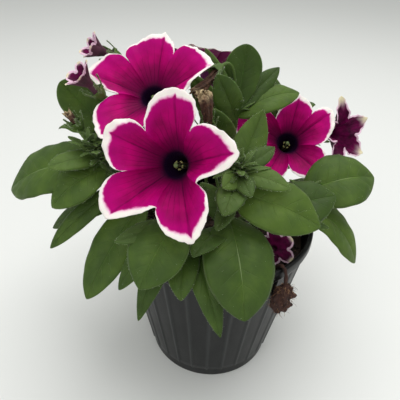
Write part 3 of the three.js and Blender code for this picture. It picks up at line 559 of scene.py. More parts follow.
peat, tree, shader = surface("fibrous_peat", roughness=0.9)
fibres = noise(tree, 500, 5, 0.7, (1, 1, 0.2))
mixed = times(plus(fibres, attribute(tree, "tone")), 0.5)
browns = ramp(mixed, (0.3, 24, 12, 10), (0.5, 72, 42, 32), (0.8, 164, 124, 90))
dress(shader, base_color=browns, normal=bump(fibres, 0.0008))
share = np.linspace(0, 1, THICK_ROOT_STEPS)
over_rim = spline([beside_rim(*place) for place in THICK_ROOT_ROUTE], share, 0)
girth = 1.1 - 0.4 * share + 0.15 * np.sin(np.arange(THICK_ROOT_STEPS))
root_bits = [clump_pod(), sleeve(rings(over_rim, girth, 10), tone=0.3)]
root_bits += [root_end(np.random.default_rng(100 + k)) for k in range(ROOT_COUNT)]
piece("peat_and_roots", joined(root_bits), peat, "peat", "peat_clump")


# Leafy stems
# Soft green stems that branch from the crown, each grown in one piece with its leaves, the tuft of young
# leaves at its tip, and the stalks and calyxes of its flowers. All of it is covered with short fine hairs.
STEM_HOLE_DEPTH = 12
STEM_RADIUS = 2.3
STEM_TIP_RADIUS = 1.3
STEM_HAIRS = (260, 1.2)  # Hairs are a count and a length.
STALK_RADIUS = 0.9
STALK_HAIRS = (90, 1.0)
CALYX_RADIUS = 3.4
CALYX_DEPTH = 4
CALYX_TURN = 20
CALYX_PROFILE = [
    (0.9, -4.6), (1.5, -4.1), (2.3, -3.2), (3.0, -1.8), (3.6, 0), (4.1, 1.4),
    (4.0, 1.9), (3.5, 1.7), (3.3, 0.6), (3.1, -0.2), (0.5, -0.35),
]
SEPAL_LEAN = 0.38
GOLDEN_ANGLE = 137.5
PETIOLE_RADIUS = 0.9
PETIOLE_SHARE = 0.18
LEAF_THICKNESS = 0.55
VEIN_PAIRS = 7
VEIN_SWEEP = 0.22
LEAF_HAIRS = [(60, 0.7), (60, 0.8)]  # Over the blade, and along its margins.
TUFT_HAIRS = [(26, 1.0), (22, 1.0)]
FILLER_HAIRS = [(16, 0.9), (16, 0.9)]
SEPAL_HAIRS = [(40, 1.1), (24, 1.1)]
HAIR_RADIUS = 0.045
UP = (0, 0, 1)


def heading(azimuth, elevation):
    """The unit vector that points to a compass angle and a height angle, both in degrees."""
    a, e = np.radians(azimuth), np.radians(elevation)
    return np.stack([np.cos(e) * np.cos(a), np.cos(e) * np.sin(a), np.sin(e) + 0 * a], -1)


def flower_frame(flower):
    """The middle of a flower's throat, its axis out of it, and the two directions across the axis."""
    axis = heading(flower.azimuth, flower.elevation)
    across = heading(flower.azimuth + 90, 0)
    return np.array(flower.throat, float), axis, across, np.cross(axis, across)


def hairs(grid, count, reach, seed, edge_only=False):
    """Thin spikes that stand out from the rings of a body, away from each ring's middle, at random places.
    A hair is a triangle drawn out to a point."""
    draw = np.random.default_rng(seed)
    rows, cols, _ = grid.shape
    row = draw.integers(1, rows - 1, count)
    col = draw.choice([0, cols // 2], count) if edge_only else draw.integers(0, cols, count)
    share = draw.uniform(0, 1, (count, 1))
    foot = grid[row, col] * share + grid[row - 1, col] * (1 - share)
    aim = unit(unit(foot - grid[row].mean(1)) + draw.normal(0, 0.35, (count, 3)))
    across = unit(np.cross(aim, draw.normal(0, 1, (count, 3))))
    base = foot[:, None] + HAIR_RADIUS * around(across[:, None], np.cross(aim, across)[:, None], circle(3))
    tip = foot + aim * reach * draw.uniform(0.5, 1, (count, 1))
    points = np.concatenate([base, tip[:, None]], 1).reshape(-1, 3)
    faces = np.array([(0, 1, 3), (1, 2, 3), (2, 0, 3), (2, 1, 0)])
    return {
        "points": points,
        "quads": np.zeros((0, 4), int),
        "tris": (faces + 4 * np.arange(count)[:, None, None]).reshape(-1, 3),
        "floats": {"hair": np.ones(len(points)), "tone": np.full(len(points), 0.7)},
    }


def leaf(base, tip, width, lift, face=UP, widest=0.48, fullness=1.15, tone=0.5, young=0.0, size=(40, 17)):
    """A blade along a midrib that runs from base to tip. Its cross section at each step is a flat loop: over
    the upper side from one margin to the other, and back below. The midrib bows out by `lift`, the outline is
    the product of a power of s and a power of 1 - s, the margins curl down and wave, and the blade swells a
    little between its veins. Size is the count of steps and of points across."""
    base, tip, face = np.array(base, float), np.array(tip, float), np.array(face, float)
    run = tip - base
    rows, cols = size
    towards = unit(run)
    normal = unit(face - towards * (face @ towards))
    side = np.cross(towards, normal)
    s = (0.5 - 0.5 * np.cos(np.linspace(0, np.pi, rows)))[:, None]
    upper = np.linspace(-1, 1, cols)
    c = np.concatenate([upper, upper[-2:0:-1]])
    far = np.abs(c)
    top = np.concatenate([np.ones(cols), -np.ones(cols - 2)])
    outline = (s / widest) ** widest * ((1 - s) / (1 - widest)) ** (1 - widest)
    outline = outline**fullness * (1 - 0.3 * s**9)
    half = np.maximum(width / 2 * outline, np.where(s < 0.5, PETIOLE_RADIUS, 0.12))
    slope = 4 * lift * (1 - 2 * s) / np.linalg.norm(run)
    upright = unit(normal - slope[..., None] * towards)
    rise = 4 * lift * s * (1 - s)
    settle = np.minimum(1, 4 * s * (1 - s))
    groove = half * (0.3 * far - 0.35 * c**2)
    wave = 0.035 * width * c**2 * np.sin(9 * s + 2 * c + base[0]) * settle
    ruffle = 0.012 * width * far**3 * np.sin(31 * s + 5 * c + base[1]) * settle
    swell = np.abs(np.sin(np.pi * VEIN_PAIRS * (s - VEIN_SWEEP * far))) - 0.6
    quilt = 0.016 * width * swell * np.sqrt(far) * (1 - far**2) * settle
    fold = -0.011 * width * np.exp(-((c / 0.07) ** 2)) * settle
    stalk = np.clip(1 - s / PETIOLE_SHARE, 0, 1)
    thick = LEAF_THICKNESS * (0.3 + 0.7 * np.sqrt(1 - 0.97 * far**6)) + 1.1 * stalk
    height = groove + wave + ruffle + quilt + fold * np.where(top > 0, 1, -0.6) + top * (far < 1) * thick / 2
    grid = base + s[..., None] * run + rise[..., None] * normal
    grid = grid + (c * half)[..., None] * side + height[..., None] * upright
    return sleeve(grid, across=c, along=s, top=(top > 0) * 1.0, tone=tone, young=young, blade=1.0), grid


def downy_leaf(seeds, down, *form, **looks):
    """A leaf with its down: hairs all over the blade and hairs along its margins, each with a seed."""
    blade, grid = leaf(*form, **looks)
    return [blade, hairs(grid, *down[0], seeds[0]), hairs(grid, *down[1], seeds[1], True)]


def stalk_and_calyx(points, flower, seed):
    """The stalk of a flower, a cubic that leaves its stem upwards and turns into the flower's axis, then the
    calyx: a small cup with five narrow sepals around it."""
    throat, axis, across, rise = flower_frame(flower)
    foot = throat - axis * flower.tube
    under = foot - axis * CALYX_DEPTH
    start = spline(points, flower.share)
    reach = np.linalg.norm(start - under)
    t = np.linspace(0, 1, 30)[:, None]
    bends = [start, start + np.array(UP) * 0.4 * reach, under - axis * 0.4 * reach]
    bends.append(under + 0.5 * axis * CALYX_DEPTH)
    line = sum(math.comb(3, k) * t**k * (1 - t) ** (3 - k) * bend for k, bend in enumerate(bends))
    radius = STALK_RADIUS * (0.85 + 0.35 * t[:, 0] ** 3)
    turn = circle(40)
    out = around(across, rise, turn)
    flute = 1 + 0.06 * np.cos(5 * (turn - math.radians(CALYX_TURN)))
    cup = np.stack([foot + out * (r * flute)[:, None] + axis * h for r, h in CALYX_PROFILE])
    bits = [sleeve(rings(line, radius, 10), tone=0.55, young=0.5), sleeve(cup, tone=0.5, young=0.4)]
    for k in range(5):
        away = around(across, rise, math.radians(72 * k + CALYX_TURN))
        start = foot + away * (CALYX_RADIUS + 0.2) + axis * 0.4
        tip = foot + away * (CALYX_RADIUS + SEPAL_LEAN * flower.sepal + 0.5) + axis * flower.sepal
        form = [start, tip, 0.24 * flower.sepal, -0.03 * flower.sepal, -away, 0.6, 0.55, 0.45, 0.5, (18, 9)]
        bits += downy_leaf((seed + k, seed + 10 + k), SEPAL_HAIRS, *form)
    bits.append(hairs(line[:, None] + radius[:, None, None] * out[None, ::4], *STALK_HAIRS, seed + 20))
    return bits


def leafy_stem(plan, flowers, seed):
    """A stem from its hole in the soil through the points of its route, thinner towards its tip, with its
    leaves, its tuft and the stalks of its flowers. The leaves of a tuft turn by the golden angle from one to
    the next and get shorter and steeper inwards, and narrower ones fill the gaps between them."""
    points = [[*plan["foot"], SOIL_LEVEL - STEM_HOLE_DEPTH + SEAT + SOIL_BUMP],
              [*plan["foot"], SOIL_LEVEL + 2 * SOIL_BUMP], *plan["route"]]
    share = np.linspace(0, 1, 60)
    line = spline(points, share)
    radius = STEM_RADIUS + (STEM_TIP_RADIUS - STEM_RADIUS) * share
    radius = radius * (1 + 0.05 * np.sin(23 * share + seed))
    bits = [sleeve(rings(line, radius, 16), tone=0.4, young=0.3)]
    bits.append(hairs(rings(line, radius, 12, (0.3, 1, 0.1))[12:], *STEM_HAIRS, seed))
    draw = np.random.default_rng(seed)

    def grow(*form, **looks):
        """Adds a leaf, whose down is seeded by the count of shapes so far."""
        here = seed + len(bits)
        bits.extend(downy_leaf((here, here + 1), *form, **looks))

    for small, blades in enumerate([plan["leaves"], plan.get("small", [])]):
        for place, *form in blades:
            grow(LEAF_HAIRS, spline(points, place), *form, tone=draw.uniform(0.25, 0.8),
                 young=0.35 * small, size=(26, 13) if small else (46, 21))
    count, length, spin, lean = plan["tuft"]
    lean = 0.35 * np.array(lean)
    for i in range(count):
        inward = i / (count - 1)
        aim = unit(heading(spin + i * GOLDEN_ANGLE, 12 + 55 * inward) + lean)
        reach = length * (1 - 0.45 * inward)
        base = spline(points, 0.93 + 0.07 * inward)
        grow(TUFT_HAIRS, base, base + aim * (reach + 2), 0.36 * reach, 0.1 * reach, fullness=0.9,
             tone=draw.uniform(0.3, 0.7), young=0.6 + 0.4 * inward, size=(18, 9))
    for i in range(3 * count):
        inward = i / (3 * count - 1)
        aim = unit(heading(spin + 60 + i * GOLDEN_ANGLE, 5 + 70 * inward) + lean)
        reach = length * (0.9 - 0.5 * inward) * draw.uniform(0.75, 1.1)
        base = spline(points, 0.88 + 0.12 * inward)
        grow(FILLER_HAIRS, base, base + aim * reach, 0.25 * reach, draw.uniform(0.1, 0.35) * reach,
             fullness=0.8, tone=draw.uniform(0.2, 0.6), young=0.4 + 0.6 * inward, size=(14, 7))
    for k, flower in enumerate(flowers):
        bits += stalk_and_calyx(points, flower, seed + 500 + 40 * k)
    return joined(bits)


green, tree, shader = surface(
    "petunia_leaf", roughness=0.5, specular_ior_level=0.2, sheen_weight=0.05, sheen_roughness=0.4,
    sheen_tint=colour(214, 232, 196), subsurface_weight=0.12, subsurface_scale=0.0012,
    subsurface_radius=(0.5, 1.0, 0.25),
)
far = compute("ABSOLUTE", attribute(tree, "across"))
drift = plus(attribute(tree, "along"), times(noise(tree, 260, 2), 0.035))
phase = times(minus(drift, times(far, VEIN_SWEEP)), VEIN_PAIRS)
crest = times(compute("ABSOLUTE", minus(compute("FRACT", phase), 0.5)), 2.0)
lateral = times(span(crest, 0.88, 1.0), span(far, 0.95, 0.2))
blade = attribute(tree, "blade")
vein = times(compute("MAXIMUM", times(lateral, 0.55), span(far, 0.04, 0.005)), blade)
mottle = plus(times(noise(tree, 90, 4, 0.6), 0.55), times(attribute(tree, "tone"), 0.5))
lamina = ramp(mottle, (0.2, 36, 54, 17), (0.5, 58, 80, 28), (0.85, 90, 114, 40))
young = blend(attribute(tree, "young"), lamina, colour(88, 110, 56))
veined = blend(times(vein, 0.15), young, colour(116, 140, 78))
below = blend(times(vein, 0.4), colour(96, 116, 72), colour(132, 150, 104))
sided = blend(times(minus(1.0, attribute(tree, "top")), times(blade, 0.75)), veined, below)
# A faint pale rim along each margin: painted sheen of the hairs there.
edged = blend(times(span(far, 0.93, 1.0), times(blade, 0.22)), sided, colour(134, 154, 98))
pores = bump(noise(tree, 1800, 3, 0.6), 0.00012, 0.6)
dress(shader, base_color=blend(attribute(tree, "hair"), edged, colour(198, 210, 180)),
      roughness=span(noise(tree, 300, 4), 0.2, 0.8, 0.48, 0.66),
      normal=bump(minus(1.0, vein), 0.0004, 0.8, pores))

# A leaf is its share of the way up the stem, its tip, width and lift, and if not as usual, the way it
# faces and where it is widest. A tuft is its count of leaves, their length, turn and lean.
STEMS = {
    "stem_left": {
        "foot": (-12, -3),
        "route": [(-26, -8, 108), (-45, -14, 123), (-59, -15, 139), (-69, -12, 153)],
        "leaves": [
            (0.9, (-121, -8, 121), 35, 8, (0, -0.5, 1)), (0.84, (-86, -34, 128), 23, 6, (-0.2, -0.8, 1)),
            (0.72, (-90, -38, 103), 12, 5, (0.2, -0.6, 1)), (0.62, (-98, -14, 98), 15, 7, (0, -0.5, 1)),
            (0.56, (-67, -56, 84), 25, 6, (-0.4, -1, 0.5)), (0.7, (-96, 20, 110), 25, 8),
        ],
        "small": [(0.8, (-88, 10, 143), 12, 3), (0.92, (-86, -30, 150), 13, 3, (-0.2, -0.8, 1))],
        "tuft": (12, 17, 20, (0, -0.3, 0.6)),
    },
    "stem_back_left": {
        "foot": (-8, 9),
        "route": [(-19, 13, 108), (-36, 16, 128), (-54, 12, 144), (-66, 6, 155)],
        "leaves": [
            (0.93, (-88, 10, 181), 23, -3, (-0.1, -1, 0.6), 0.6), (0.8, (-104, 38, 140), 27, 9),
            (0.66, (-70, 64, 132), 26, 9), (0.55, (-88, 50, 104), 26, 9), (0.42, (-46, 74, 104), 27, 9),
        ],
        "small": [(0.85, (-70, 28, 168), 12, 2)],
        "tuft": (7, 12, 60, (0.3, 0.3, 1)),
    },
    "stem_front_left": {
        "foot": (-8, -10),
        "route": [(-13, -21, 105), (-17, -34, 120), (-19, -44, 133)],
        "leaves": [
            (0.95, (-33, -74, 113), 29, 5, (-0.1, -0.6, 1)), (0.72, (-47, -61, 98), 18, 7),
            (0.7, (-14, -72, 105), 18, 5), (0.5, (-35, -74, 91), 15, 15),
            (0.55, (6, -76, 85), 15, 16, (-0.2, 0, 1)),
        ],
        "small": [(0.8, (-47, -59, 128), 12, 3, (0, -0.6, 1))],
        "tuft": (5, 10, 14, (-0.4, 0.2, 0.6)),
    },
    "stem_front": {
        "foot": (3, -12),
        "route": [(5, -22, 106), (7, -31, 124), (10, -29, 142), (11, -25, 153)],
        "leaves": [
            (0.62, (17, -75, 97), 36, 9, UP, 0.5), (0.78, (53, -41, 130), 29, 6, (0, -0.7, 1), 0.44),
            (0.5, (-9, -65, 127), 16, 4, (-0.2, -0.4, 1)), (0.93, (22, -5, 176), 18, -2, (0, -1, 0.5), 0.38),
        ],
        "small": [
            (0.72, (1, -51, 132), 9, 2, (0, -0.7, 1)), (0.6, (-8, -32, 147), 13, 2, (0, -1, 0.6)),
            (0.94, (3, -41, 150), 11, 2, (0, -0.9, 0.6)), (0.92, (17, -43, 147), 10, 3, (0, -0.7, 0.8)),
            (0.95, (36, -37, 149), 12, 3, (0, -0.6, 1)), (0.86, (4, -51, 141), 15, 3, (0, -0.6, 1)),
            (0.96, (29, -13, 159), 10, 2, (0, -0.8, 0.6)),
        ],
        "tuft": (12, 15, 0, (0, -0.4, 0.5)),
    },
    "stem_front_right": {
        "foot": (10, -8),
        "route": [(17, -15, 107), (24, -21, 115), (29, -26, 122)],
        "leaves": [(0.9, (64, -19, 135), 28, 7, (0, -0.6, 1)), (0.7, (63, -24, 117), 15, 5)],
        "tuft": (5, 9, 40, (0.5, 0.3, 0.3)),
    },
    "stem_right": {
        "foot": (13, 2),
        "route": [(28, 3, 107), (43, 2, 117), (55, 0, 127)],
        "leaves": [
            (0.92, (94, 12, 130), 34, 8, (0, -0.7, 1)), (0.8, (87, -14, 84), 25, 10, (0.8, -0.6, 1)),
            (0.66, (84, 34, 104), 25, 8),
        ],
        "tuft": (6, 11, 30, (0.8, -0.3, 0)),
    },
    "stem_back_right": {
        "foot": (9, 10),
        "route": [(14, 26, 106), (20, 48, 114), (30, 68, 124), (44, 78, 138)],
        "leaves": [
            (0.9, (72, 108, 138), 26, 9), (0.8, (60, 104, 116), 27, 9), (0.55, (68, 72, 100), 24, 8),
            (0.9, (36, 92, 164), 18, 3, (0, -1, 1)),
        ],
        "tuft": (6, 12, 0, (0, 0, 1)),
    },
    "stem_back": {
        "foot": (0, 13),
        "route": [(2, 22, 108), (6, 28, 132), (9, 26, 152), (10, 25, 166)],
        "leaves": [
            (0.97, (13, 33, 199), 22, -2, (0, -1, 0.4), 0.6), (0.86, (-3, 11, 188), 18, 2, (0.2, -1, 0.6)),
            (0.62, (-8, 3, 173), 20, 2, (0, -1, 0.4)), (0.7, (-18, 30, 182), 16, 2, (0, -1, 0.5)),
            (0.9, (47, 40, 170), 20, 6, (0, -0.5, 1)), (0.97, (34, 46, 183), 12, 2, (0, -1, 0.6)),
            (0.5, (-4, 84, 108), 27, 10), (0.6, (-22, 66, 128), 24, 8),
        ],
        "small": [(0.9, (-10, 24, 198), 10, 2, (0, -1, 0.6))],
        "tuft": (5, 11, 15, (0, 0, 1)),
    },
}

# Each flower hangs on a stem at its share of the way up, and the lengths are those of its tube and sepals.
Flower = namedtuple("Flower", "stem share throat azimuth elevation tube sepal")
FLOWERS = {
    "bloom_front": Flower("stem_front_left", 0.35, (-20, -35, 158), 246, 27, 28, 15),
    "bloom_upper_left": Flower("stem_back_left", 0.45, (-37, 9, 175), 256, 54, 28, 15),
    "bloom_right": Flower("stem_back_right", 0.5, (44, 36, 138), 274, 45, 26, 15),
    "bloom_back": Flower("stem_back", 0.7, (-9, 64, 175), 84, 71, 26, 15),
    "bloom_rear_left": Flower("stem_back_left", 0.6, (-50, 76, 150), 122, 32, 26, 15),
    "bloom_far_right": Flower("stem_back_right", 0.5, (79, 62, 134), 305, 25, 20, 11),
    "bloom_wilting_upper": Flower("stem_back_left", 0.7, (-69, 26, 194), 205, 24, 9, 7),
    "bloom_wilting_lower": Flower("stem_back_left", 0.9, (-70, -2, 186), 208, 48, 9, 7),
    "spent_flower_back": Flower("stem_back", 0.75, (-15, 8, 178), 227, -28, 20, 7),
    "spent_flower_front": Flower("stem_front", 0.3, (-9, -12, 186), 233, 76, 20, 7),
    "spent_flower_left": Flower("stem_left", 0.9, (-79, -10, 172), 200, 60, 8, 5),
}

for number, (name, plan) in enumerate(STEMS.items()):
    grown = leafy_stem(plan, [f for f in FLOWERS.values() if f.stem == name], 1000 * (number + 1))
    piece(name + "_foliage", grown, green, "leaf", name)


# Open flowers
# Each corolla is one fused funnel of five lobes, magenta with a white margin, a dark throat and dark veins.
# It is as thin as paper, ruffled along its rim and creased along the middle of each lobe.
MOUTH_RADIUS = 6.5
LOBE_EDGE = [1.5, 0.6]
LOBE_REACH = 35
PETAL_THICKNESS = 0.5
STYLE_RADIUS = 0.42
STIGMA_RADIUS = 1.25
THREAD_RADIUS = 0.22
ANTHER_RADIUS = 0.5
ANTHER_GAP = 0.35
BORDER_SHARE = {"bloom_upper_left": 0.72, "bloom_right": 0.78, "bloom_back": 0.8}
# Each lobe: the angle, radius and rise of its tip and of the notch after it, then the two powers of its edge
# before the tip and after it, where they are not LOBE_EDGE.
OPEN_LOBES = {
    "bloom_front": [
        [22, 38, 18, 62, 20, 14, [1.8, 2.5], [1, 0.55]], [88, 34, 18, 132, 18, 14, [3, 0.5], [2, 1.1]],
        [164, 32.5, 18, 203, 18.5, 14, [1.8, 0.7], [1.5, 0.45]],
        [236, 38.5, 18, 275, 19.5, 14, [2, 0.45], [1, 1.6]],
        [312, 38.5, 18, 348, 18.5, 14, [1, 0.6], [1, 0.5]],
    ],
    "bloom_upper_left": [
        [28, 36, 12, 71, 23, 10, [0.8, 2], [1.2, 0.4]], [90, 34, 12, 139, 20, 9, [0.6, 0.5], [0.5, 0.2]],
        [178, 36, 12, 203, 17, 9, [2, 0.4], [1.2, 1.2]], [245, 38, 12, 285, 19, 9, [1, 0.45], [1.5, 0.7]],
        [322, 35, 12, 354, 19, 9],
    ],
    "bloom_right": [
        [34, 32.5, 10, 50, 19, 9, [1.4, 1], [2, 0.3]], [77, 30, 10, 123, 16, 8, [0.7, 0.3], [1, 1]],
        [154, 39, 10, 194, 17, 8, [1.5, 0.5], [2, 0.7]], [236, 33, 10, 264, 17, 8],
        [308, 31, 10, 345, 16.5, 8, [1.2, 0.8], [1.2, 0.55]],
    ],
    "bloom_back": [
        [10, 31, 11, 46, 20, 9], [82, 33, 11, 118, 19, 9], [154, 32, 11, 190, 20, 9],
        [226, 31, 11, 262, 21, 9], [298, 32, 11, 334, 20, 9],
    ],
    "bloom_rear_left": [
        [20, 33, 14, 56, 19, 11], [92, 32, 14, 128, 20, 11], [164, 34, 14, 200, 19, 11],
        [236, 33, 14, 272, 18, 11], [308, 33, 14, 344, 20, 11],
    ],
}


def rim(lobes, steps):
    """The rim as angle, radius and rise, and how far each of its points lies from the middle of its lobe, -1
    to 1. Between a lobe's tip and a notch, radius and rise follow an arch: one minus a power of the way, all
    to another power. The first power makes a tip blunter and the second makes a lobe narrower."""
    rows = np.array([row[:6] for row in lobes], float)
    edges = np.array([row[6:] or [LOBE_EDGE, LOBE_EDGE] for row in lobes])
    even = np.linspace(-1, 1, steps, endpoint=False)
    u = np.tile(np.sign(even) * (1 - (1 - np.abs(even)) ** 1.4), 5)
    k = np.repeat(np.arange(5), steps)
    tip = rows[k, :3]
    before = u[:, None] < 0
    notch = np.where(before, rows[k - 1, 3:], rows[k, 3:])
    bluntness, narrowness = np.where(before, edges[k, 0], edges[k, 1]).T
    gap = (notch[:, 0] - tip[:, 0] + 540) % 360 - 180
    bulge = (1 - np.abs(u) ** bluntness) ** narrowness
    angle = np.radians(tip[:, 0] + gap * np.abs(u))
    radius, rise = (notch + (tip - notch) * bulge[:, None])[:, 1:].T
    return angle, radius, rise, u


def corolla(flower, mouth, lobes, columns=44, ruffle=1.0, crumple=0.3, seed=0, border=1.0):
    """A funnel worked out as meridians: a tube that widens to the mouth, then a limb whose height follows a
    power of its reach and which waves more towards the rim. The outside goes up the meridians and the inside
    comes back down them, a petal's thickness in front. The distance to the rim sets where the pale margin
    ends, at a width that the border multiplies."""
    throat, axis, across, rise = flower_frame(flower)
    angle, edge_radius, edge_rise, u = rim(lobes, columns)
    away = np.abs(u)
    fray = np.sin(41 * angle + seed) + 0.7 * np.sin(67 * angle + 2 * seed) + 0.5 * np.sin(113 * angle)
    edge_radius = edge_radius * (1 + 0.0045 * fray)
    inner = np.linspace(0, 1, 16)[:, None]
    low = 2 + (0.5 * mouth - 2) * np.minimum(inner / 0.6, 1)
    flare = 0.5 * mouth * np.maximum((inner - 0.6) / 0.4, 0) ** 1.3
    share = np.linspace(0, 1, 34)[1:, None] ** 0.9
    radius = np.concatenate([low + flare + 0 * u, mouth + (edge_radius - mouth) * share])
    height = np.concatenate([(inner - 1) * flower.tube + 0 * u, edge_rise * (1 - (1 - share) ** 1.5)])
    reach = np.concatenate([inner - 1, share]) + 0 * u
    limb = np.clip(reach, 0, 1)
    size = edge_radius / LOBE_REACH
    crease = -0.9 * size * np.exp(-((u / 0.1) ** 2)) * np.sin(np.pi * np.minimum(limb, 0.96))
    ridge = 0.9 * size * away**2 * np.sin(np.pi * limb)
    wave = np.sin(9 * angle + flower.azimuth) + 0.7 * np.sin(16 * angle + 2 + seed) + 0.4 * np.sin(29 * angle)
    bend = crease + ridge + ruffle * 0.6 * wave * limb**3
    slope_r, slope_h = np.gradient(radius, axis=0), np.gradient(height, axis=0)
    slope = np.hypot(slope_r, slope_h)
    out = around(across, rise, angle)
    faces = []
    for shift in (PETAL_THICKNESS * (1 - 0.5 * limb**4), 0):
        r = np.maximum(radius + slope_h / slope * (shift - bend), 0.2)
        h = height - slope_r / slope * (shift - bend)
        faces.append(throat + r[..., None] * out + h[..., None] * axis)
    squeeze = np.stack([roughness(faces[1] + 37 * k, 5, seed + k, 3) for k in range(3)], -1)
    squeeze = crumple * squeeze * limb[..., None] ** 0.7
    outside, inside = [face + squeeze for face in faces]
    margin = np.linalg.norm(inside[:, :, None] - inside[-1][None, None], axis=-1).min(-1) / border
    grid = np.concatenate([outside, inside[::-1]])
    margin, reach = [np.concatenate([value, value[::-1]]) for value in (margin, reach)]
    front = np.repeat([0.0, 1.0], len(inside))[:, None]
    return sleeve(grid, margin=margin, reach=reach, away=away, front=front)


ribbing, given, result = effect("petal_veins", {"Count": 5.0, "Width": 0.08}, ["Mask"])
drift = times(minus(noise(ribbing, 170, 2), 0.5), 0.09)
phase = times(plus(attribute(ribbing, "away"), drift), given["Count"])
crest = compute("ABSOLUTE", minus(compute("FRACT", phase), 0.5))
ribbing.links.new(span(crest, minus(0.5, given["Width"]), 0.5), result["Mask"])
border, given, result = effect("pale_margin", {"Width": 3.0}, ["Share", "Mask"])
share = compute("DIVIDE", attribute(border, "margin"), given["Width"])
border.links.new(share, result["Share"])
steep = minus(span(share, 0.92, 1.0, 0.4, 0.0, "LINEAR"), 0.4)
border.links.new(plus(span(share, 0.8, 0.92, 1.0, 0.4, "LINEAR"), steep), result["Mask"])


def veins_across(tree, count, width):
    """The petal_veins effect: thin lines out from the throat, at equal steps from a lobe's middle."""
    return add(tree, "ShaderNodeGroup", {"Count": count, "Width": width}, node_tree=ribbing).outputs["Mask"]


petal, tree, shader = surface(
    "magenta_petal", roughness=0.6, specular_ior_level=0.05, sheen_weight=0.015, sheen_roughness=0.4,
    sheen_tint=colour(255, 190, 225), subsurface_weight=0.1, subsurface_scale=0.001,
    subsurface_radius=(1.0, 0.35, 0.6),
)
reach, away, front = attribute(tree, "reach"), attribute(tree, "away"), attribute(tree, "front")
clouds = noise(tree, 110, 3)
main_vein = times(veins_across(tree, 0.5, 0.025), span(reach, 1.0, 0.1, 0.25, 0.85))
side_vein = times(veins_across(tree, 5.0, 0.08), span(reach, 0.9, 0.05, 0.0, 0.95))
veins = compute("MAXIMUM", main_vein, side_vein)
magenta = ramp(clouds, (0.3, 134, 0, 75), (0.7, 180, 0, 105))
rimmed = blend(span(reach, 0.5, 0.95, 0.0, 0.6), magenta, colour(176, 2, 118))
deep = blend(span(reach, 0.55, 0.06), rimmed, colour(98, 0, 56))
lined = blend(veins, deep, colour(66, 0, 44))
throated = blend(span(reach, 0.13, -0.03), lined, colour(24, 6, 32))
backed = blend(times(minus(1.0, front), 0.5), throated, colour(150, 70, 130))
flecks = plus(times(clouds, 1.8), times(noise(tree, 700, 3), 0.9))
width = times(plus(flecks, span(away, 0.85, 0.1, 0.1, 3.0)), span(away, 1.0, 0.72, 0.32, 1.0))
width = minus(width, span(away, 0.07, 0.0, 0.0, 1.3))
edging = add(tree, "ShaderNodeGroup", {"Width": width}, node_tree=border).outputs
white = ramp(edging["Share"], (0.6, 240, 232, 226), (0.95, 226, 124, 188))
velvet = bump(noise(tree, 1400, 2), 0.00006, 0.6)
dress(shader, base_color=blend(edging["Mask"], backed, white), roughness=span(clouds, 0.2, 0.8, 0.42, 0.6),
      normal=bump(minus(1.0, veins), 0.0002, 0.6, velvet))


def bead(centre, long_way, girth, **values):
    """A rounded grain around a centre: rings whose radius is the sine of the way along its length."""
    axis = unit(long_way)
    across = unit(np.cross(axis, [0.31, 0.87, 0.38]))
    polar = np.linspace(0.15, np.pi - 0.15, 9)[:, None, None]
    ring = around(across, np.cross(axis, across), circle(12))
    return sleeve(centre - np.cos(polar) * long_way + girth * np.sin(polar) * ring, **values)


def pistil(flower):
    """The style with its green stigma, and five anthers on threads around it, each at a height of its own in
    the mouth of the flower."""
    throat, axis, across, rise = flower_frame(flower)
    length = flower.tube - 1.1
    foot = throat - axis * length
    along = np.linspace(0, 1, 24)[:, None]
    bits = [sleeve(rings(foot + along * length * 0.99 * axis, STYLE_RADIUS, 10), tone=0.3)]
    bits.append(bead(foot + axis * length, axis * 0.75, STIGMA_RADIUS, tone=0.0))
    for k in range(5):
        out = around(across, rise, math.radians(72 * k))
        top = 0.86 * length + 0.7 * math.sin(4 * k)
        line = foot + axis * along * top + out * (0.6 + 1.3 * along**2)
        bits.append(sleeve(rings(line, THREAD_RADIUS, 6), tone=0.4))
        for side in (-ANTHER_GAP, ANTHER_GAP):
            place = line[-1] + np.cross(axis, out) * side
            bits.append(bead(place, axis * 0.85 + 0.15 * out, ANTHER_RADIUS, tone=1.0))
    return joined(bits)


looks = {"subsurface_weight": 0.1, "subsurface_scale": 0.001}
pollen, tree, shader = surface("stigma_and_anthers", roughness=0.6, **looks)
grains = noise(tree, 2500, 3)
tone = plus(attribute(tree, "tone"), times(minus(grains, 0.5), 0.5))
yellows = ramp(tone, (0.0, 88, 106, 56), (0.4, 118, 112, 84), (1.0, 142, 138, 86))
dress(shader, base_color=yellows, normal=bump(grains, 0.0002))
for number, (name, lobes) in enumerate(OPEN_LOBES.items()):
    opened = corolla(FLOWERS[name], MOUTH_RADIUS, lobes, seed=number, border=BORDER_SHARE.get(name, 1.0))
    piece(name.replace("bloom", "corolla"), opened, petal, "petal", name)
    inner = name.replace("bloom", "pistil")
    piece(inner + "_fine", pistil(FLOWERS[name]), pollen, "stamen", inner)
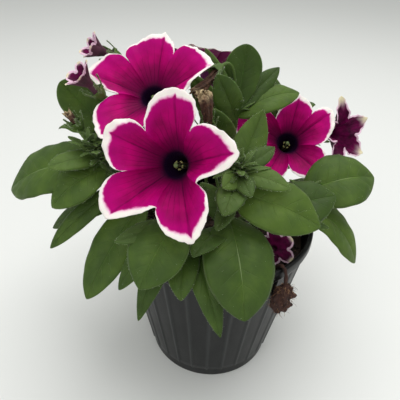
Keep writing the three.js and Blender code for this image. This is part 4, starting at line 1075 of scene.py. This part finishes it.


# Wilting flowers
# Half open and collapsing corollas: dark maroon, limp and crumpled, with a thin pale edge and dry cream tips.
# On the far right flower the dark maroon is partly painted shade.
# One has dropped onto the soil inside the rim.
# Each flower: the radius of its mouth, then its lobes as for an open flower.
WILTED_LOBES = {
    "bloom_far_right": (4.5, [
        [18, 22, 13, 54, 11, 11, [1.2, 1], [1.2, 1]], [90, 24, 12, 126, 11, 11, [1.2, 1], [1.2, 1]],
        [162, 20, 12, 198, 10, 11, [1.2, 1], [1.2, 1]], [234, 24, 10, 270, 11, 10, [1.2, 1], [1.2, 1]],
        [312, 25, 9, 344, 11, 10, [1.2, 1], [1.2, 1]],
    ]),
    "bloom_wilting_upper": (2.8, [
        [10, 6.5, 7, 46, 4.5, 5], [82, 9, 6, 118, 4.5, 5], [154, 6, 7, 190, 4.5, 5], [226, 7, 9, 262, 4.5, 5],
        [298, 6.5, 8, 334, 4.5, 5],
    ]),
    "bloom_wilting_lower": (3, [
        [0, 8, 6, 36, 5, 5], [72, 9, 7, 108, 5, 5], [144, 8, 7, 180, 5, 5], [216, 8, 7, 252, 5, 5],
        [288, 8, 7, 324, 5, 5],
    ]),
    "fallen_flower": (4, [
        [5, 12, 3, 41, 8, 3], [77, 11, 4, 113, 7, 4], [149, 12, 3, 185, 8, 3], [221, 13, 1, 257, 8, 2],
        [293, 12, 2, 329, 8, 2],
    ]),
}
FALLEN_FLOWER = Flower(None, None, (36, -21, 98.5), 300, 62, 3, None)


looks = {"specular_ior_level": 0.08, "sheen_weight": 0.03, "sheen_roughness": 0.4}
limp, tree, shader = surface("wilted_petal", roughness=0.6, **looks)
reach, away, front = attribute(tree, "reach"), attribute(tree, "away"), attribute(tree, "front")
clouds = noise(tree, 240, 4)
# The dark maroon is the wilted petals' own colour, and on the far right flower it is partly painted shade as
# well.
maroon = ramp(clouds, (0.3, 54, 2, 36), (0.7, 104, 6, 68))
backed = blend(times(minus(1.0, front), 0.6), maroon, colour(88, 70, 74))
lined = blend(times(veins_across(tree, 4.0, 0.12), 0.45), backed, colour(34, 2, 24))
width = plus(times(clouds, 1.3), 0.65)
edging = add(tree, "ShaderNodeGroup", {"Width": width}, node_tree=border).outputs["Mask"]
dry = times(span(away, 0.45, 0.05), span(reach, 0.62, 0.92))
pale = blend(dry, colour(226, 190, 210), colour(222, 212, 176))
dress(shader, base_color=blend(compute("MAXIMUM", edging, dry), lined, pale),
      roughness=span(clouds, 0.2, 0.8, 0.45, 0.7), normal=bump(noise(tree, 900, 4), 0.0002))
for number, (name, (mouth, lobes)) in enumerate(WILTED_LOBES.items()):
    size = max(row[1] for row in lobes)
    flower = FLOWERS.get(name, FALLEN_FLOWER)
    wilted = corolla(flower, mouth, lobes, 30, 0.02 * size, 0.045 * size, 20 + number)
    piece(name + "_wilted", wilted, limp, "wilted_petal", name)


# Spent flowers
# Corollas that have dried where they stood, in their calyxes on the stems' own stalks: brown papery tubes,
# pleated and twisted, with a frayed end.
SPENT_TWIST = math.radians(56)
SPENT_PLEATS = 5
SPENT_SEED = 48
SPENT_GIRTHS = {"spent_flower_back": 3.4, "spent_flower_front": 4, "spent_flower_left": 2.4}


def dried_flower(flower, girth, seed):
    """Rings around a slightly bent axis that widen towards the end, pleated five times round and twisted, up
    the outside to a ragged rim and a little way back down inside."""
    throat, axis, across, rise = flower_frame(flower)
    share = np.concatenate([np.linspace(0, 1, 46), np.linspace(0.98, 0.6, 14)])[:, None]
    wall = np.concatenate([np.zeros(46), np.linspace(0.25, 0.5, 14)])[:, None]
    turn = circle(100)
    pleat = 0.8 + 0.2 * np.cos(SPENT_PLEATS * turn) + 0.05 * np.sin(13 * turn + 9 * share)
    radius = girth * (0.5 + 0.5 * share) * pleat - wall
    twist = turn + SPENT_TWIST * share
    edge = np.stack([3 * np.cos(turn), 3 * np.sin(turn), 0 * turn], -1)
    ragged = 1.3 * roughness(edge, 0.9, seed, 2) * share**8
    grid = throat - axis * flower.tube + (share * flower.tube + ragged)[..., None] * axis
    grid = grid + radius[..., None] * around(across, rise, twist)
    grid = grid + 1.2 * np.sin(3 * share)[..., None] * across
    grid = grid + 0.12 * girth * roughness(grid, 2.2, seed + 5, 3)[..., None] * across
    return sleeve(grid, along=share)


papery, tree, shader = surface("dried_petal", roughness=0.8)
fibres = noise(tree, 600, 5, 0.7)
fray = times(span(attribute(tree, "along"), 0.75, 1.0), span(fibres, 0.35, 0.6))
brown = ramp(fibres, (0.3, 40, 24, 20), (0.55, 86, 56, 40), (0.8, 140, 104, 76))
dress(shader, base_color=blend(fray, brown, colour(206, 184, 142)), normal=bump(fibres, 0.0005))
for number, (name, girth) in enumerate(SPENT_GIRTHS.items()):
    dried = dried_flower(FLOWERS[name], girth, SPENT_SEED + number)
    piece(name + "_dried", dried, papery, "dried_flower", name)
